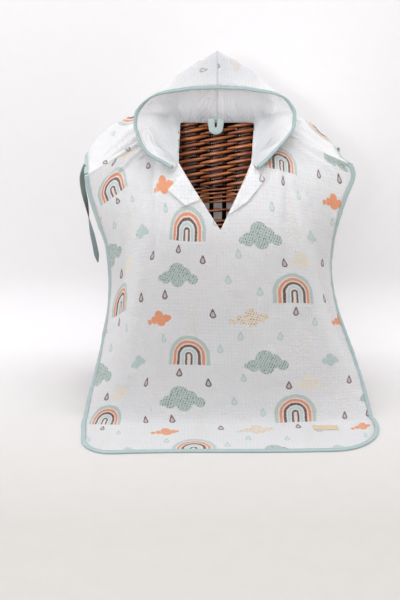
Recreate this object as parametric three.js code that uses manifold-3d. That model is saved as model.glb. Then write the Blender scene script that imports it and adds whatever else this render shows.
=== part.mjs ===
// Child's hooded bath poncho in crinkled muslin, worn over a small wicker tub chair.
// Millimetres, +Z up, the front faces -Y, the floor is z = 0.
import * as THREE from "three";
import Module from "manifold-3d";

const wasm = await Module();
wasm.setup();

// Driving sizes
const CLOTH = 2.0; // four layers of muslin
const SEAM = 0.35; // clearance between two pieces that meet
const SHOULDER_SEAM = 0.6; // clearance along the shoulder, where the walls are mitred
const LAY = 0.4; // clearance between a piece and the cloth that it lies on
const LAPEL_LAY = 1; // clearance under the slit's turned-back corners
const BIND_GAP = 0.7; // clearance between a panel's binding and the edge that it closes
const HOOD_BIND_GAP = 0.95; // the same at the hood's rim
const TAPE_WIDE = 8.4; // bias binding, across
const TAPE_THICK = 4.2; // bias binding, over both faces
const NECK_HALF = 75; // half the width of the neck opening at the back
const NECK_PULL = 15; // how far the opening's right edge comes in at the slit
const SHOULDER_REACH = 245; // a shoulder's half width, which turns a place near the neck into a share
const SHOULDER_DOWN = 0.3; // share of the front panel within which the neck's edge lies
const RIM_ROOM = 8; // how far the room that the chair's wall leaves for its rim runs past the rim's ends
const FLOOR_MID = CLOTH / 2; // middle of the cloth where it lies on the floor

// Colours
const MUSLIN = 0xf1efee;
const MINT = 0xa9c4c0;
const TIE_GREY = 0x7f9593;
const WICKER = 0x8a4a24;
const CREAM = 0xf3dfbe;

// Sections of the front panel, from the shoulder seam down to the hem.
// c is the middle, l and r are the left and right edges, flat is the share of the width that stays level,
// bend is the power of the turn towards the edges and round is how much of the corner's rounding applies.
const FRONT_SECTIONS = [
  { c: [60, 552], l: [-246, -60, 462], r: [243, -60, 482], flat: 0.3, bend: 1.0, round: 0 },
  { c: [-4, 520], l: [-243, -63, 438], r: [250, -62, 458], flat: 0.28, bend: 1.1, round: 0 },
  { c: [-72, 484], l: [-236, -65, 408], r: [238, -63, 421], flat: 0.25, bend: 1.3, round: 0 },
  { c: [-114, 428], l: [-224, -66, 365], r: [229, -62, 382], flat: 0.28, bend: 1.5, round: 0 },
  { c: [-138, 368], l: [-213, -64, 322], r: [222, -60, 335], flat: 0.38, bend: 1.7, round: 0 },
  { c: [-146, 290], l: [-210, -62, 258], r: [222, -58, 270], flat: 0.48, bend: 1.9, round: 0 },
  { c: [-149, 205], l: [-217, -72, 188], r: [236, -76, 197], flat: 0.5, bend: 2.0, round: 0 },
  { c: [-151, 120], l: [-232, -98, 108], r: [268, -98, 112], flat: 0.5, bend: 2.0, round: 0 },
  { c: [-154, 48], l: [-248, -128, 42], r: [288, -126, 42], flat: 0.45, bend: 1.9, round: 0 },
  { c: [-168, 6], l: [-255, -152, 5], r: [295, -152, 5], flat: 0.4, bend: 1.8, round: 0 },
  { c: [-200, 1], l: [-256, -182, 1], r: [298, -182, 1], flat: 0.4, bend: 1.8, round: 0.25 },
  { c: [-240, 1], l: [-251, -234, 1], r: [299, -224, 1], flat: 0.4, bend: 1.8, round: 0.6 },
  { c: [-276, 1], l: [-246, -284, 1], r: [299, -268, 1], flat: 0.2, bend: 1.6, round: 1 },
];

// Sections of the back panel, from the shoulder seam over the chair's rim and down behind it.
const BACK_SECTIONS = [
  { c: [60, 552], l: [-246, -60, 462], r: [243, -60, 482], flat: 0.3, bend: 1.0, round: 0 },
  { c: [68, 565], l: [-252, -20, 476], r: [236, -20, 490], flat: 0.2, bend: 1.8, round: 0 },
  { c: [83, 574], l: [-262, 42, 494], r: [232, 40, 508], flat: 0, bend: 4.9, round: 0 },
  { c: [99, 568], l: [-260, 64, 486], r: [232, 62, 496], flat: 0, bend: 4.6, round: 0 },
  { c: [108, 545], l: [-260, 76, 462], r: [234, 74, 468], flat: 0.05, bend: 3.2, round: 0 },
  { c: [113, 470], l: [-255, 72, 405], r: [238, 72, 408], flat: 0.1, bend: 2.4, round: 0 },
  { c: [114, 380], l: [-244, 62, 330], r: [238, 62, 332], flat: 0.15, bend: 2.0, round: 0 },
  { c: [115, 280], l: [-236, 58, 245], r: [234, 58, 246], flat: 0.2, bend: 1.9, round: 0 },
  { c: [118, 180], l: [-240, 66, 160], r: [240, 66, 160], flat: 0.2, bend: 1.8, round: 0 },
  { c: [123, 90], l: [-250, 84, 82], r: [252, 84, 82], flat: 0.2, bend: 1.8, round: 0 },
  { c: [131, 30], l: [-258, 104, 28], r: [260, 104, 28], flat: 0.2, bend: 1.8, round: 0 },
  { c: [150, 1], l: [-262, 128, 1], r: [264, 128, 1], flat: 0.2, bend: 1.8, round: 0 },
  { c: [178, 1], l: [-260, 164, 1], r: [262, 164, 1], flat: 0.2, bend: 1.8, round: 0.5 },
  { c: [208, 1], l: [-258, 206, 1], r: [260, 206, 1], flat: 0.2, bend: 1.6, round: 1 },
];

// Largest folds: a soft ridge from one place to another, as shares across (-1 to 1) and down (0 to 1).
const FRONT_FOLDS = [
  { across: [-0.6, -0.78], down: [0.16, 0.66], wide: 22, high: 7 },
  { across: [0.62, 0.84], down: [0.22, 0.6], wide: 20, high: 9 },
  { across: [-0.42, -0.5], down: [0.06, 0.34], wide: 17, high: 5 },
  { across: [0.46, 0.5], down: [0.06, 0.4], wide: 18, high: 4 },
  { across: [-0.82, -0.94], down: [0.3, 0.55], wide: 13, high: -5 },
  { across: [0.86, 0.98], down: [0.36, 0.62], wide: 13, high: -6 },
];
const BACK_FOLDS = [
  { across: [-0.62, -0.66], down: [0.3, 0.95], wide: 20, high: 10 },
  { across: [-0.3, -0.28], down: [0.34, 0.98], wide: 22, high: 8 },
  { across: [0.08, 0.04], down: [0.42, 0.9], wide: 24, high: 7 },
  { across: [0.4, 0.46], down: [0.32, 0.98], wide: 22, high: 9 },
  { across: [0.74, 0.7], down: [0.3, 0.9], wide: 17, high: 8 },
  { across: [-0.34, -0.96], down: [0.08, 0.03], wide: 11, high: 3.5 },
  { across: [0.34, 0.96], down: [0.09, 0.04], wide: 11, high: 3.5 },
];
const STATION_APART = 3; // least distance between two stations of a binding
const PANEL_REACH = { across: 280, down: 640 }; // turns a fold's shares into millimetres
const CORNER = { usual: 56, frontRight: 95 }; // radius of the hem's corners

// Sections of the hood's left half, from the top of the front slit round to the centre seam at the back.
// neck is where the seam lies on the panels, as x and y, rim is the bound front edge, and swell pushes the
// crown out between them. right is the same rim's reach on the other side, where it is drawn in a little.
const HOOD_SECTIONS = [
  { neck: [-77, -74], rim: [-81, -90, 478], right: 68, swell: [0, 0, 1] },
  { neck: [-77, -56], rim: [-130, -70, 503], right: 99, swell: [-2, 2, 0] },
  { neck: [-77, -28], rim: [-151, -38, 536], right: 134, swell: [-5, 8, -2] },
  { neck: [-77, 4], rim: [-156, -10, 558], right: 143, swell: [-4, 16, 4] },
  { neck: [-77, 34], rim: [-150, 14, 575], right: 139, swell: [2, 30, 16] },
  { neck: [-71, 56.5], rim: [-118, 32, 595], right: 112, swell: [10, 42, 42] },
  { neck: [-36, 59.6], rim: [-61, 44, 610], right: 57, swell: [0, 52, 74] },
  { neck: [-0.2, 59.6], rim: [-0.2, 47, 615], right: 0.2, swell: [0, 58, 100] },
];
const HOOD_CLOTH = 1.8;
const HOOD_LIFT = CLOTH / 2 + LAY + HOOD_CLOTH / 2; // hood's cloth over the panels' middle surface
const CROWN_LATE = 1.45; // puts the hood's point nearer the front edge than the neck

// The front slit, seen from the front: the height of its top corners, its foot, and the height of the back neck.
const SLIT = { top: 484, foot: [2, 370], back: 555 };

// Turned-back corners of the slit, seen from the front, as x and z from the slit's edge outwards.
const LAPELS = {
  left: { edge: [[-71, 466], [-4, 373]], outer: [[-93, 438], [-50, 408]] },
  right: { edge: [[72, 468], [8, 373]], outer: [[86, 452], [46, 402]] },
};

// Hanging loop at the back neck, side ties and label.
const LOOP = { wide: 11, thick: 1.6, half: 11.5, drop: 27, at: [-3, 56.2, 560] };
const TIE = { wide: 10, thick: 1.4 };
const TIE_ROUTES = {
  tie_left: [
    [-260, 8, 477.2], [-262, 6, 460], [-261, 4, 430], [-259.5, 2, 395], [-255.5, 0, 354], [-249.5, 0, 313],
    [-245, 0, 277],
  ],
  tie_right: [
    [237.5, 32, 497.5], [237, 28, 474], [235, 18, 430], [232, 14, 390], [229, 10, 350], [226, 8, 310],
    [224, 6, 286],
  ],
};
const LABEL = { size: [46, 17, 0.9], at: [203, -196] };

// Wicker tub chair: rim stations from the middle of the back round to the end of the right arm.
const CHAIR = {
  rimRadius: 9,
  wall: 8,
  seatTop: 222,
  seatThick: 20,
  seatHalf: [196, 84],
  seatMiddleY: -6,
  legTop: 16,
  legFoot: 12,
  legAt: [142, 56],
  boxiness: 2.6,
  rimHalf: 216,
};
const RIM_STATIONS = [
  [0, 83, 562.6],
  [60, 83, 562.5],
  [120, 82, 559.8],
  [168, 76, 548.5],
  [200, 60, 527],
  [214, 28, 495],
  [216, -10, 466],
  [210, -42, 447],
];

const lerp = (a, b, t) => a + (b - a) * t;
const vec = (p) => new THREE.Vector3(...p);

// Smooth interpolation through a table's rows, number by number, at a place from 0 to 1.
function alongTable(rows, place) {
  const at = Math.min(Math.max(place, 0), 1) * (rows.length - 1);
  const i = Math.min(Math.floor(at), rows.length - 2);
  const t = at - i;
  const pick = (k) => rows[Math.min(Math.max(k, 0), rows.length - 1)];
  const four = [pick(i - 1), pick(i), pick(i + 1), pick(i + 2)];
  const spline = (a, b, c, d) =>
    b + 0.5 * t * (c - a + t * (2 * a - 5 * b + 4 * c - d + t * (3 * (b - c) + d - a)));
  const blend = ([a, b, c, d]) =>
    Array.isArray(a) ? a.map((_, k) => spline(a[k], b[k], c[k], d[k])) : spline(a, b, c, d);
  return Object.fromEntries(Object.keys(rows[0]).map((key) => [key, blend(four.map((row) => row[key]))]));
}

// A point of a draped panel before its folds: across from -1 to 1, down from 0 to 1.
function drape(sections, across, down) {
  const row = alongTable(sections, down);
  const side = across < 0 ? row.l : row.r;
  const away = Math.abs(across);
  const turn = Math.pow(Math.max(0, (away - row.flat) / (1 - row.flat)), Math.max(1, row.bend));
  const x = side[0] * away;
  const corner = across > 0 && sections === FRONT_SECTIONS ? CORNER.frontRight : CORNER.usual;
  const over = Math.max(0, corner - (1 - away) * Math.abs(side[0]));
  const drop = corner - Math.sqrt(Math.max(0, corner * corner - over * over));
  const inward = Math.sign(sections[0].c[0] - sections.at(-1).c[0]);
  const y = lerp(row.c[0], side[1], turn) + inward * drop * Math.max(0, row.round);
  const z = Math.max(FLOOR_MID, lerp(row.c[1], side[2], turn));
  return new THREE.Vector3(x, y, z);
}

// The outward normal of a surface given by a function of two shares, facing away from the body.
function normalOf(surface, u, v, flip) {
  const step = 0.004;
  const du = surface(u + step, v).sub(surface(u - step, v));
  const dv = surface(u, v + step).sub(surface(u, v - step));
  return du.cross(dv).multiplyScalar(flip).normalize();
}

// How far a table of folds lifts the cloth at one place.
function foldHeight(folds, across, down) {
  let height = 0;
  for (const fold of folds) {
    const start = [fold.across[0] * PANEL_REACH.across, fold.down[0] * PANEL_REACH.down];
    const end = [fold.across[1] * PANEL_REACH.across, fold.down[1] * PANEL_REACH.down];
    const here = [across * PANEL_REACH.across - start[0], down * PANEL_REACH.down - start[1]];
    const run = [end[0] - start[0], end[1] - start[1]];
    const share = (here[0] * run[0] + here[1] * run[1]) / (run[0] ** 2 + run[1] ** 2);
    const held = Math.min(Math.max(share, 0), 1);
    const off = Math.hypot(here[0] - held * run[0], here[1] - held * run[1]);
    height += fold.high * Math.sin(Math.PI * held) ** 0.6 * Math.exp(-((off / fold.wide) ** 2));
  }
  return height;
}

// A draped panel with its folds, as a function of the two shares.
function foldedPanel(sections, folds, flip) {
  const plain = (across, down) => drape(sections, across, down);
  return (across, down) => {
    const point = plain(across, down);
    const height = foldHeight(folds, across, down);
    if (Math.abs(height) < 0.01) return point;
    point.addScaledVector(normalOf(plain, across, down, flip), height);
    point.z = Math.max(FLOOR_MID, point.z);
    return point;
  };
}

const frontPanel = foldedPanel(FRONT_SECTIONS, FRONT_FOLDS, -1);
const backPanel = foldedPanel(BACK_SECTIONS, BACK_FOLDS, 1);

// A closed geometry from a grid of outer points and a grid of inner points of the same size.
function closedGrid(outer, inner) {
  const rows = outer.length;
  const columns = outer[0].length;
  const positions = [...outer.flat(), ...inner.flat()].flatMap((p) => [p.x, p.y, p.z]);
  const at = (layer, i, j) => layer * rows * columns + i * columns + j;
  const triangles = [];
  const quad = (a, b, c, d) => triangles.push(a, b, c, a, c, d);
  for (let i = 0; i < rows - 1; i++)
    for (let j = 0; j < columns - 1; j++) {
      quad(at(0, i, j), at(0, i + 1, j), at(0, i + 1, j + 1), at(0, i, j + 1));
      quad(at(1, i, j), at(1, i, j + 1), at(1, i + 1, j + 1), at(1, i + 1, j));
    }
  for (let j = 0; j < columns - 1; j++) {
    quad(at(0, 0, j), at(0, 0, j + 1), at(1, 0, j + 1), at(1, 0, j));
    quad(at(0, rows - 1, j + 1), at(0, rows - 1, j), at(1, rows - 1, j), at(1, rows - 1, j + 1));
  }
  for (let i = 0; i < rows - 1; i++) {
    quad(at(0, i + 1, 0), at(0, i, 0), at(1, i, 0), at(1, i + 1, 0));
    quad(at(0, i, columns - 1), at(0, i + 1, columns - 1), at(1, i + 1, columns - 1), at(1, i, columns - 1));
  }
  return geometryOf(positions, triangles);
}

// A geometry whose faces point out.
function geometryOf(positions, triangles) {
  let volume = 0;
  const corner = (k) => new THREE.Vector3().fromArray(positions, 3 * k);
  for (let i = 0; i < triangles.length; i += 3)
    volume += corner(triangles[i]).dot(corner(triangles[i + 1]).cross(corner(triangles[i + 2])));
  if (volume < 0)
    for (let i = 0; i < triangles.length; i += 3)
      [triangles[i + 1], triangles[i + 2]] = [triangles[i + 2], triangles[i + 1]];
  const geometry = new THREE.BufferGeometry();
  geometry.setAttribute("position", new THREE.Float32BufferAttribute(positions, 3));
  geometry.setIndex(triangles);
  geometry.computeVertexNormals();
  return geometry;
}

// A wall of cloth on a surface: us and vs are the shares where it has points, adjust may turn a normal at a seam.
function wallOn(surface, us, vs, thickness, flip, adjust = (normal) => normal) {
  const outer = [];
  const inner = [];
  for (const v of vs) {
    const outerRow = [];
    const innerRow = [];
    for (const u of us) {
      const middle = surface(u, v);
      const normal = adjust(normalOf(surface, u, v, flip), u, v);
      outerRow.push(middle.clone().addScaledVector(normal, thickness / 2));
      innerRow.push(middle.clone().addScaledVector(normal, -thickness / 2));
    }
    outer.push(outerRow);
    inner.push(innerRow);
  }
  return closedGrid(outer, inner);
}

// Shares from low to high, closer together towards the ends when crowd is over 1.
function shares(low, high, count, crowd = 1) {
  return Array.from({ length: count + 1 }, (_, i) => {
    const t = (2 * i) / count - 1;
    const pushed = Math.sign(t) * (1 - Math.pow(1 - Math.abs(t), crowd));
    return lerp(low, high, (pushed + 1) / 2);
  });
}

// A bar through rings: each ring is a list of points, and both ends are closed.
function barThrough(rings) {
  const around = rings[0].length;
  const positions = rings.flat().flatMap((p) => [p.x, p.y, p.z]);
  const triangles = [];
  for (let i = 0; i < rings.length - 1; i++)
    for (let j = 0; j < around; j++) {
      const next = (j + 1) % around;
      const [a, b] = [i * around + j, i * around + next];
      triangles.push(a, b, b + around, a, b + around, a + around);
    }
  const last = (rings.length - 1) * around;
  for (let j = 1; j < around - 1; j++) {
    triangles.push(0, j + 1, j);
    triangles.push(last, last + j, last + j + 1);
  }
  return geometryOf(positions, triangles);
}

// The outline of a flattened tape or cord section, as shares of its half width and half thickness.
const TAPE_OUTLINE = [[-1, -0.45], [-0.7, -1], [0.7, -1], [1, -0.45], [1, 0.45], [0.7, 1], [-0.7, 1], [-1, 0.45]];

function tapeRing(middle, sideways, upright, wide, thick) {
  return TAPE_OUTLINE.map(([a, b]) =>
    middle.clone().addScaledVector(sideways, (a * wide) / 2).addScaledVector(upright, (b * thick) / 2),
  );
}

// The binding along a surface's edge: places lists the edge's shares as [u, v], and outside says which way is out.
function bindingAlong(surface, places, flip, outside) {
  const route = places.filter(([u, v], i) => {
    if (i === 0 || i === places.length - 1) return true;
    const [a, b] = places[i - 1];
    return surface(u, v).distanceTo(surface(a, b)) > STATION_APART;
  });
  const points = route.map(([u, v]) => surface(u, v));
  return barThrough(
    route.map(([u, v], i) => {
      const before = points[Math.max(0, i - 1)];
      const after = points[Math.min(points.length - 1, i + 1)];
      const along = after.clone().sub(before).normalize();
      const normal = normalOf(surface, u, v, flip);
      const out = along.clone().cross(normal).multiplyScalar(outside).normalize();
      const upright = out.clone().cross(along).normalize();
      const middle = points[i].clone().addScaledVector(out, BIND_GAP + TAPE_WIDE / 2);
      middle.z = Math.max(TAPE_THICK / 2, middle.z);
      const ring = tapeRing(middle, out, upright, TAPE_WIDE, TAPE_THICK);
      for (const point of ring) point.z = Math.max(0, point.z);
      return ring;
    }),
  );
}

// The three bound edges of a panel: down one side, along the hem and up the other.
function boundEdges(downs, acrosses, start) {
  const side = downs.filter((v) => v > start);
  return [
    [-1, start],
    ...side.map((v) => [-1, v]),
    ...acrosses.slice(1, -1).map((u) => [u, 1]),
    ...side.toReversed().map((v) => [1, v]),
    [1, start],
  ];
}

// Turns a geometry into a manifold solid and back.
function solidOf(geometry) {
  return new wasm.Manifold(
    new wasm.Mesh({
      numProp: 3,
      vertProperties: new Float32Array(geometry.getAttribute("position").array),
      triVerts: new Uint32Array(geometry.index.array),
    }),
  );
}
function geometryFrom(solid) {
  const mesh = solid.getMesh();
  return geometryOf(Array.from(mesh.vertProperties), Array.from(mesh.triVerts));
}

// A prism along Y through an outline of [x, z] points.
function prismAlongY(outline, near, far) {
  const rings = [near, far].map((y) => outline.map(([x, z]) => new THREE.Vector3(x, y, z)));
  return barThrough(rings);
}

// The mitred normal where the front and back panels meet, so that their seam faces are parallel.
function seamNormal(across) {
  const front = normalOf(frontPanel, across, 0.004, -1);
  const back = normalOf(backPanel, across, 0.004, 1);
  return front.add(back).normalize();
}
const mitreAtSeam = (normal, across, down) => (down === 0 ? seamNormal(across) : normal);

// The back panel starts a seam's width behind the front one.
function backFromSeam(across, down) {
  const point = backPanel(across, down);
  const along = backPanel(across, 0.02).sub(backPanel(across, 0)).normalize();
  return point.addScaledVector(along, SHOULDER_SEAM * Math.max(0, 1 - down / 0.05));
}

// The front panel, with the slit and the neck opening cut through it.
function makeFront(acrosses, downs) {
  const sheet = wallOn(frontPanel, acrosses, downs, CLOTH, -1, mitreAtSeam);
  const high = 700;
  const left = [[-NECK_HALF, high], [-NECK_HALF, SLIT.top]];
  const right = [[NECK_HALF - NECK_PULL, SLIT.top], [NECK_HALF, SLIT.back], [NECK_HALF, high]];
  const opening = prismAlongY([...left, SLIT.foot, ...right], -400, 200);
  return geometryFrom(solidOf(sheet).subtract(solidOf(opening)));
}

// The place on the front panel that is seen at x and z from the front, as its point and normal.
function frontAt(x, z) {
  let [low, high] = [0, 0.7];
  let across = 0;
  for (let i = 0; i < 40; i++) {
    const down = (low + high) / 2;
    const row = alongTable(FRONT_SECTIONS, down);
    across = x / Math.abs(x < 0 ? row.l[0] : row.r[0]);
    if (frontPanel(across, down).z > z) low = down;
    else high = down;
  }
  return { point: frontPanel(across, low), normal: normalOf(frontPanel, across, low, -1) };
}

// A turned-back corner of the slit: it lies on the panel and is made from the panel's own points.
function makeLapel({ edge, outer }) {
  const lift = CLOTH / 2 + LAPEL_LAY + HOOD_CLOTH / 2;
  const surface = (u, v) => {
    const inside = [lerp(edge[0][0], edge[1][0], v), lerp(edge[0][1], edge[1][1], v)];
    const far = v < 0.5
      ? [lerp(outer[0][0], outer[1][0], 2 * v), lerp(outer[0][1], outer[1][1], 2 * v)]
      : [lerp(outer[1][0], edge[1][0], 2 * v - 1), lerp(outer[1][1], edge[1][1], 2 * v - 1)];
    const width = lerp(0.06, 1, u);
    const { point, normal } = frontAt(lerp(inside[0], far[0], width), lerp(inside[1], far[1], width));
    return point.addScaledVector(normal, lift);
  };
  return wallOn(surface, shares(0, 1, 4), shares(0, 0.94, 8), HOOD_CLOTH, edge[0][0] < 0 ? 1 : -1);
}

// A place on the neck's edge, given by x and y, lying on the outer face of the panel under it.
function neckPlace(x, y) {
  const across = x / SHOULDER_REACH;
  let [low, high] = [0, SHOULDER_DOWN];
  for (let i = 0; i < 30; i++) {
    const down = (low + high) / 2;
    if (drape(FRONT_SECTIONS, across, down).y > y) low = down;
    else high = down;
  }
  const plain = (u, v) => drape(FRONT_SECTIONS, u, v);
  const point = plain(across, low);
  point.x = x;
  return point.addScaledVector(normalOf(plain, across, Math.max(0.004, low), -1), HOOD_LIFT);
}

// The hood's sections for one side, with the neck's places in space.
function hoodSections(side) {
  return HOOD_SECTIONS.map(({ neck, rim, right, swell }) => {
    const height = neckPlace(side * -neck[0], neck[1]).z;
    const low = Math.min(1, Math.max(0, SLIT.back - height) / (SLIT.back - SLIT.top));
    const pull = side > 0 && neck[0] < -50 ? NECK_PULL * low : 0;
    const place = neckPlace(side * -neck[0] - pull, neck[1]);
    return {
      neck: [place.x, place.y, place.z],
      rim: [side > 0 ? right : rim[0], rim[1], rim[2]],
      swell: [side * -swell[0], swell[1], swell[2]],
    };
  });
}

// The hood's half: round from 0 at the slit to 1 at the centre seam, over from 0 at the neck to 1 at the rim.
function hoodHalf(side) {
  const sections = hoodSections(side);
  return (round, over) => {
    const row = alongTable(sections, round);
    const crown = Math.sin(Math.PI * Math.pow(Math.min(Math.max(over, 0), 1), CROWN_LATE));
    const beyond = over > 1 ? over - 1 : 0;
    return vec(row.neck.map((n, k) => lerp(n, row.rim[k], over) + row.swell[k] * (crown - 3 * beyond)));
  };
}
const hoodHalves = { [-1]: hoodHalf(-1), [1]: hoodHalf(1) };
const hoodRounds = shares(0, 1, 18);

function makeHoodHalf(side) {
  const level = (normal, round) => (round === 1 ? normal.setX(0).normalize() : normal);
  return wallOn(hoodHalves[side], hoodRounds, shares(0, 1, 12), HOOD_CLOTH, side, level);
}

// The hood's binding runs up one half's rim and down the other's.
function makeHoodBinding() {
  const rounds = [0.015, ...hoodRounds.slice(1, -1), 0.985];
  const stations = [...rounds.map((u) => [-1, u]), ...rounds.toReversed().map((u) => [1, u])];
  const points = stations.map(([side, u]) => hoodHalves[side](u, 1));
  return barThrough(
    stations.map(([side, u], i) => {
      const before = points[Math.max(0, i - 1)];
      const after = points[Math.min(points.length - 1, i + 1)];
      const along = after.clone().sub(before).normalize();
      const normal = normalOf(hoodHalves[side], u, 0.99, side);
      const out = along.clone().cross(normal).normalize();
      const upright = out.clone().cross(along).normalize();
      const middle = points[i].clone().addScaledVector(out, HOOD_BIND_GAP + TAPE_WIDE / 2);
      return tapeRing(middle, out, upright, TAPE_WIDE, TAPE_THICK);
    }),
  );
}

// A flat tape along a smooth route, lying across a given direction at its start.
function tapeAlong(route, wide, thick, sidewaysAt, steps) {
  const curve = new THREE.CatmullRomCurve3(route.map(vec), false, "centripetal");
  return barThrough(
    Array.from({ length: steps + 1 }, (_, i) => {
      const t = i / steps;
      const along = curve.getTangentAt(t);
      const upright = along.clone().cross(sidewaysAt(t)).normalize();
      const sideways = upright.clone().cross(along).normalize();
      return tapeRing(curve.getPointAt(t), sideways, upright, wide, thick);
    }),
  );
}

// The hanging loop: a tape folded into a U that hangs from the back neck.
function makeLoop() {
  const [x, y, z] = LOOP.at;
  const steps = 14;
  const rings = Array.from({ length: steps + 1 }, (_, i) => {
    const angle = Math.PI * (i / steps - 0.5);
    const round = LOOP.half;
    const leg = LOOP.drop - round;
    const middle = new THREE.Vector3(
      x + round * Math.sin(angle),
      y,
      z - leg * Math.min(1, 1.6 * Math.cos(angle)) - round * Math.cos(angle),
    );
    const out = new THREE.Vector3(Math.sin(angle), 0, -Math.cos(angle));
    return tapeRing(middle, out, new THREE.Vector3(0, 1, 0), LOOP.wide, LOOP.thick);
  });
  return barThrough(rings);
}

function makeTie(route) {
  const twist = (t) => {
    const angle = 0.5 + 1.6 * t;
    return new THREE.Vector3(Math.cos(angle), Math.sin(angle), 0);
  };
  return tapeAlong(route, TIE.wide, TIE.thick, twist, 12);
}

// The chair's rim, from the left arm's end round the back to the right arm's end.
const rimRoute = [
  ...RIM_STATIONS.slice(1).toReversed().map(([x, y, z]) => [-x, y, z]),
  ...RIM_STATIONS,
].map(vec);
const rimCurve = new THREE.CatmullRomCurve3(rimRoute, false, "centripetal");

// A round bar along the rim; beyond stretches it past both ends when it is used to make room.
function rimAt(radius, beyond = 0) {
  const steps = 44;
  const around = 14;
  return barThrough(
    Array.from({ length: steps + 1 }, (_, i) => {
      const middle = rimCurve.getPointAt(i / steps);
      const along = rimCurve.getTangentAt(i / steps);
      if (i === 0) middle.addScaledVector(along, -beyond);
      if (i === steps) middle.addScaledVector(along, beyond);
      const out = along.clone().cross(new THREE.Vector3(0, 0, 1)).normalize();
      const up = out.clone().cross(along).normalize();
      return Array.from({ length: around }, (_, j) => {
        const angle = (2 * Math.PI * j) / around;
        const [a, b] = [radius * Math.cos(angle), radius * Math.sin(angle)];
        return middle.clone().addScaledVector(out, a).addScaledVector(up, b);
      });
    }),
  );
}

// The outline of the chair at the seat, as a rounded box.
function seatOutline(share, half, middleY) {
  const angle = 2 * Math.PI * share;
  const squash = (value) => Math.sign(value) * Math.pow(Math.abs(value), 2 / CHAIR.boxiness);
  return [half[0] * squash(Math.cos(angle)), middleY + half[1] * squash(Math.sin(angle))];
}

// The woven wall under the rim, which leans in to the seat.
function makeShell() {
  const scaleX = (CHAIR.seatHalf[0] - CHAIR.wall / 2 - 2) / CHAIR.rimHalf;
  const surface = (u, v) => {
    const rim = rimCurve.getPointAt(Math.min(Math.max(u, 0), 1));
    const foot = new THREE.Vector3(rim.x * scaleX, lerp(rim.y, CHAIR.seatMiddleY, 0.12), CHAIR.seatTop + SEAM);
    return rim.clone().lerp(foot, v);
  };
  const wall = wallOn(surface, shares(0.004, 0.996, 36), shares(0, 1, 4), CHAIR.wall, 1, (normal, u, v) =>
    v === 0 || v === 1 ? normal.setZ(0).normalize() : normal,
  );
  const room = rimAt(CHAIR.rimRadius + SEAM, RIM_ROOM);
  const below = solidOf(wall).subtract(solidOf(room));
  const pieces = below.decompose().sort((a, b) => b.volume() - a.volume());
  return geometryFrom(pieces[0]);
}

function makeSeat() {
  const points = Array.from({ length: 40 }, (_, i) =>
    new THREE.Vector2(...seatOutline(i / 40, CHAIR.seatHalf, CHAIR.seatMiddleY)),
  );
  const geometry = new THREE.ExtrudeGeometry(new THREE.Shape(points), {
    depth: CHAIR.seatThick,
    bevelEnabled: false,
  });
  return geometry.translate(0, 0, CHAIR.seatTop - CHAIR.seatThick);
}

function makeLeg() {
  const height = CHAIR.seatTop - CHAIR.seatThick - SEAM;
  const leg = new THREE.CylinderGeometry(CHAIR.legTop, CHAIR.legFoot, height, 14);
  return leg.rotateX(Math.PI / 2).translate(0, 0, height / 2);
}

function makeLabel() {
  const [wide, deep, thick] = LABEL.size;
  return new THREE.BoxGeometry(wide, deep, thick).translate(0, 0, CLOTH + LAY + thick / 2);
}

// The whole object
const material = (color, roughness) => new THREE.MeshStandardMaterial({ color, roughness, metalness: 0 });
const muslin = material(MUSLIN, 0.95);
const mint = material(MINT, 0.9);
const tieGrey = material(TIE_GREY, 0.9);
const wicker = material(WICKER, 0.55);
const cream = material(CREAM, 0.8);

const object = new THREE.Group();
function add(name, geometry, finish, at = [0, 0, 0]) {
  const mesh = new THREE.Mesh(geometry, finish);
  mesh.name = name;
  mesh.position.set(...at);
  object.add(mesh);
}

const panelAcross = shares(-1, 1, 28, 1.25);
const frontDown = shares(0, 1, 30, 1.1);
const backDown = shares(0, 1, 28, 1.15);

add("front_panel", makeFront(panelAcross, frontDown), muslin);
add("back_panel", wallOn(backFromSeam, panelAcross, backDown, CLOTH, 1, mitreAtSeam), muslin);
add("front_binding", bindingAlong(frontPanel, boundEdges(frontDown, panelAcross, 0.012), -1, 1), mint);
add("back_binding", bindingAlong(backPanel, boundEdges(backDown, panelAcross, 0.012), 1, -1), mint);
add("hood_left", makeHoodHalf(-1), muslin);
add("hood_right", makeHoodHalf(1), muslin);
add("hood_binding", makeHoodBinding(), mint);
add("lapel_left", makeLapel(LAPELS.left), muslin);
add("lapel_right", makeLapel(LAPELS.right), muslin);
add("hanging_loop", makeLoop(), mint);
for (const [name, route] of Object.entries(TIE_ROUTES)) add(name, makeTie(route), tieGrey);
add("label", makeLabel(), cream, [...LABEL.at, 0]);
add("chair_rim", rimAt(CHAIR.rimRadius), wicker);
add("chair_shell", makeShell(), wicker);
add("chair_seat", makeSeat(), wicker);
for (const [name, across, away] of [
  ["chair_leg_front_left", -1, -1],
  ["chair_leg_front_right", 1, -1],
  ["chair_leg_back_left", -1, 1],
  ["chair_leg_back_right", 1, 1],
])
  add(name, makeLeg(), wicker, [across * CHAIR.legAt[0], CHAIR.seatMiddleY + away * CHAIR.legAt[1], 0]);

// Stands the object on the middle of its own footprint.
const footprint = new THREE.Box3().setFromObject(object);
const middle = footprint.getCenter(new THREE.Vector3());
for (const mesh of object.children) mesh.position.sub(new THREE.Vector3(middle.x, middle.y, footprint.min.z));

export default object;
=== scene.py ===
"""Child's hooded bath poncho in crinkled muslin, draped over a small wicker tub chair.

Lengths in the tables are millimetres in the drape's own frame, whose middle lies under the chair; metres
and the object's frame begin where a mesh is made.
"""
import math

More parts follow.
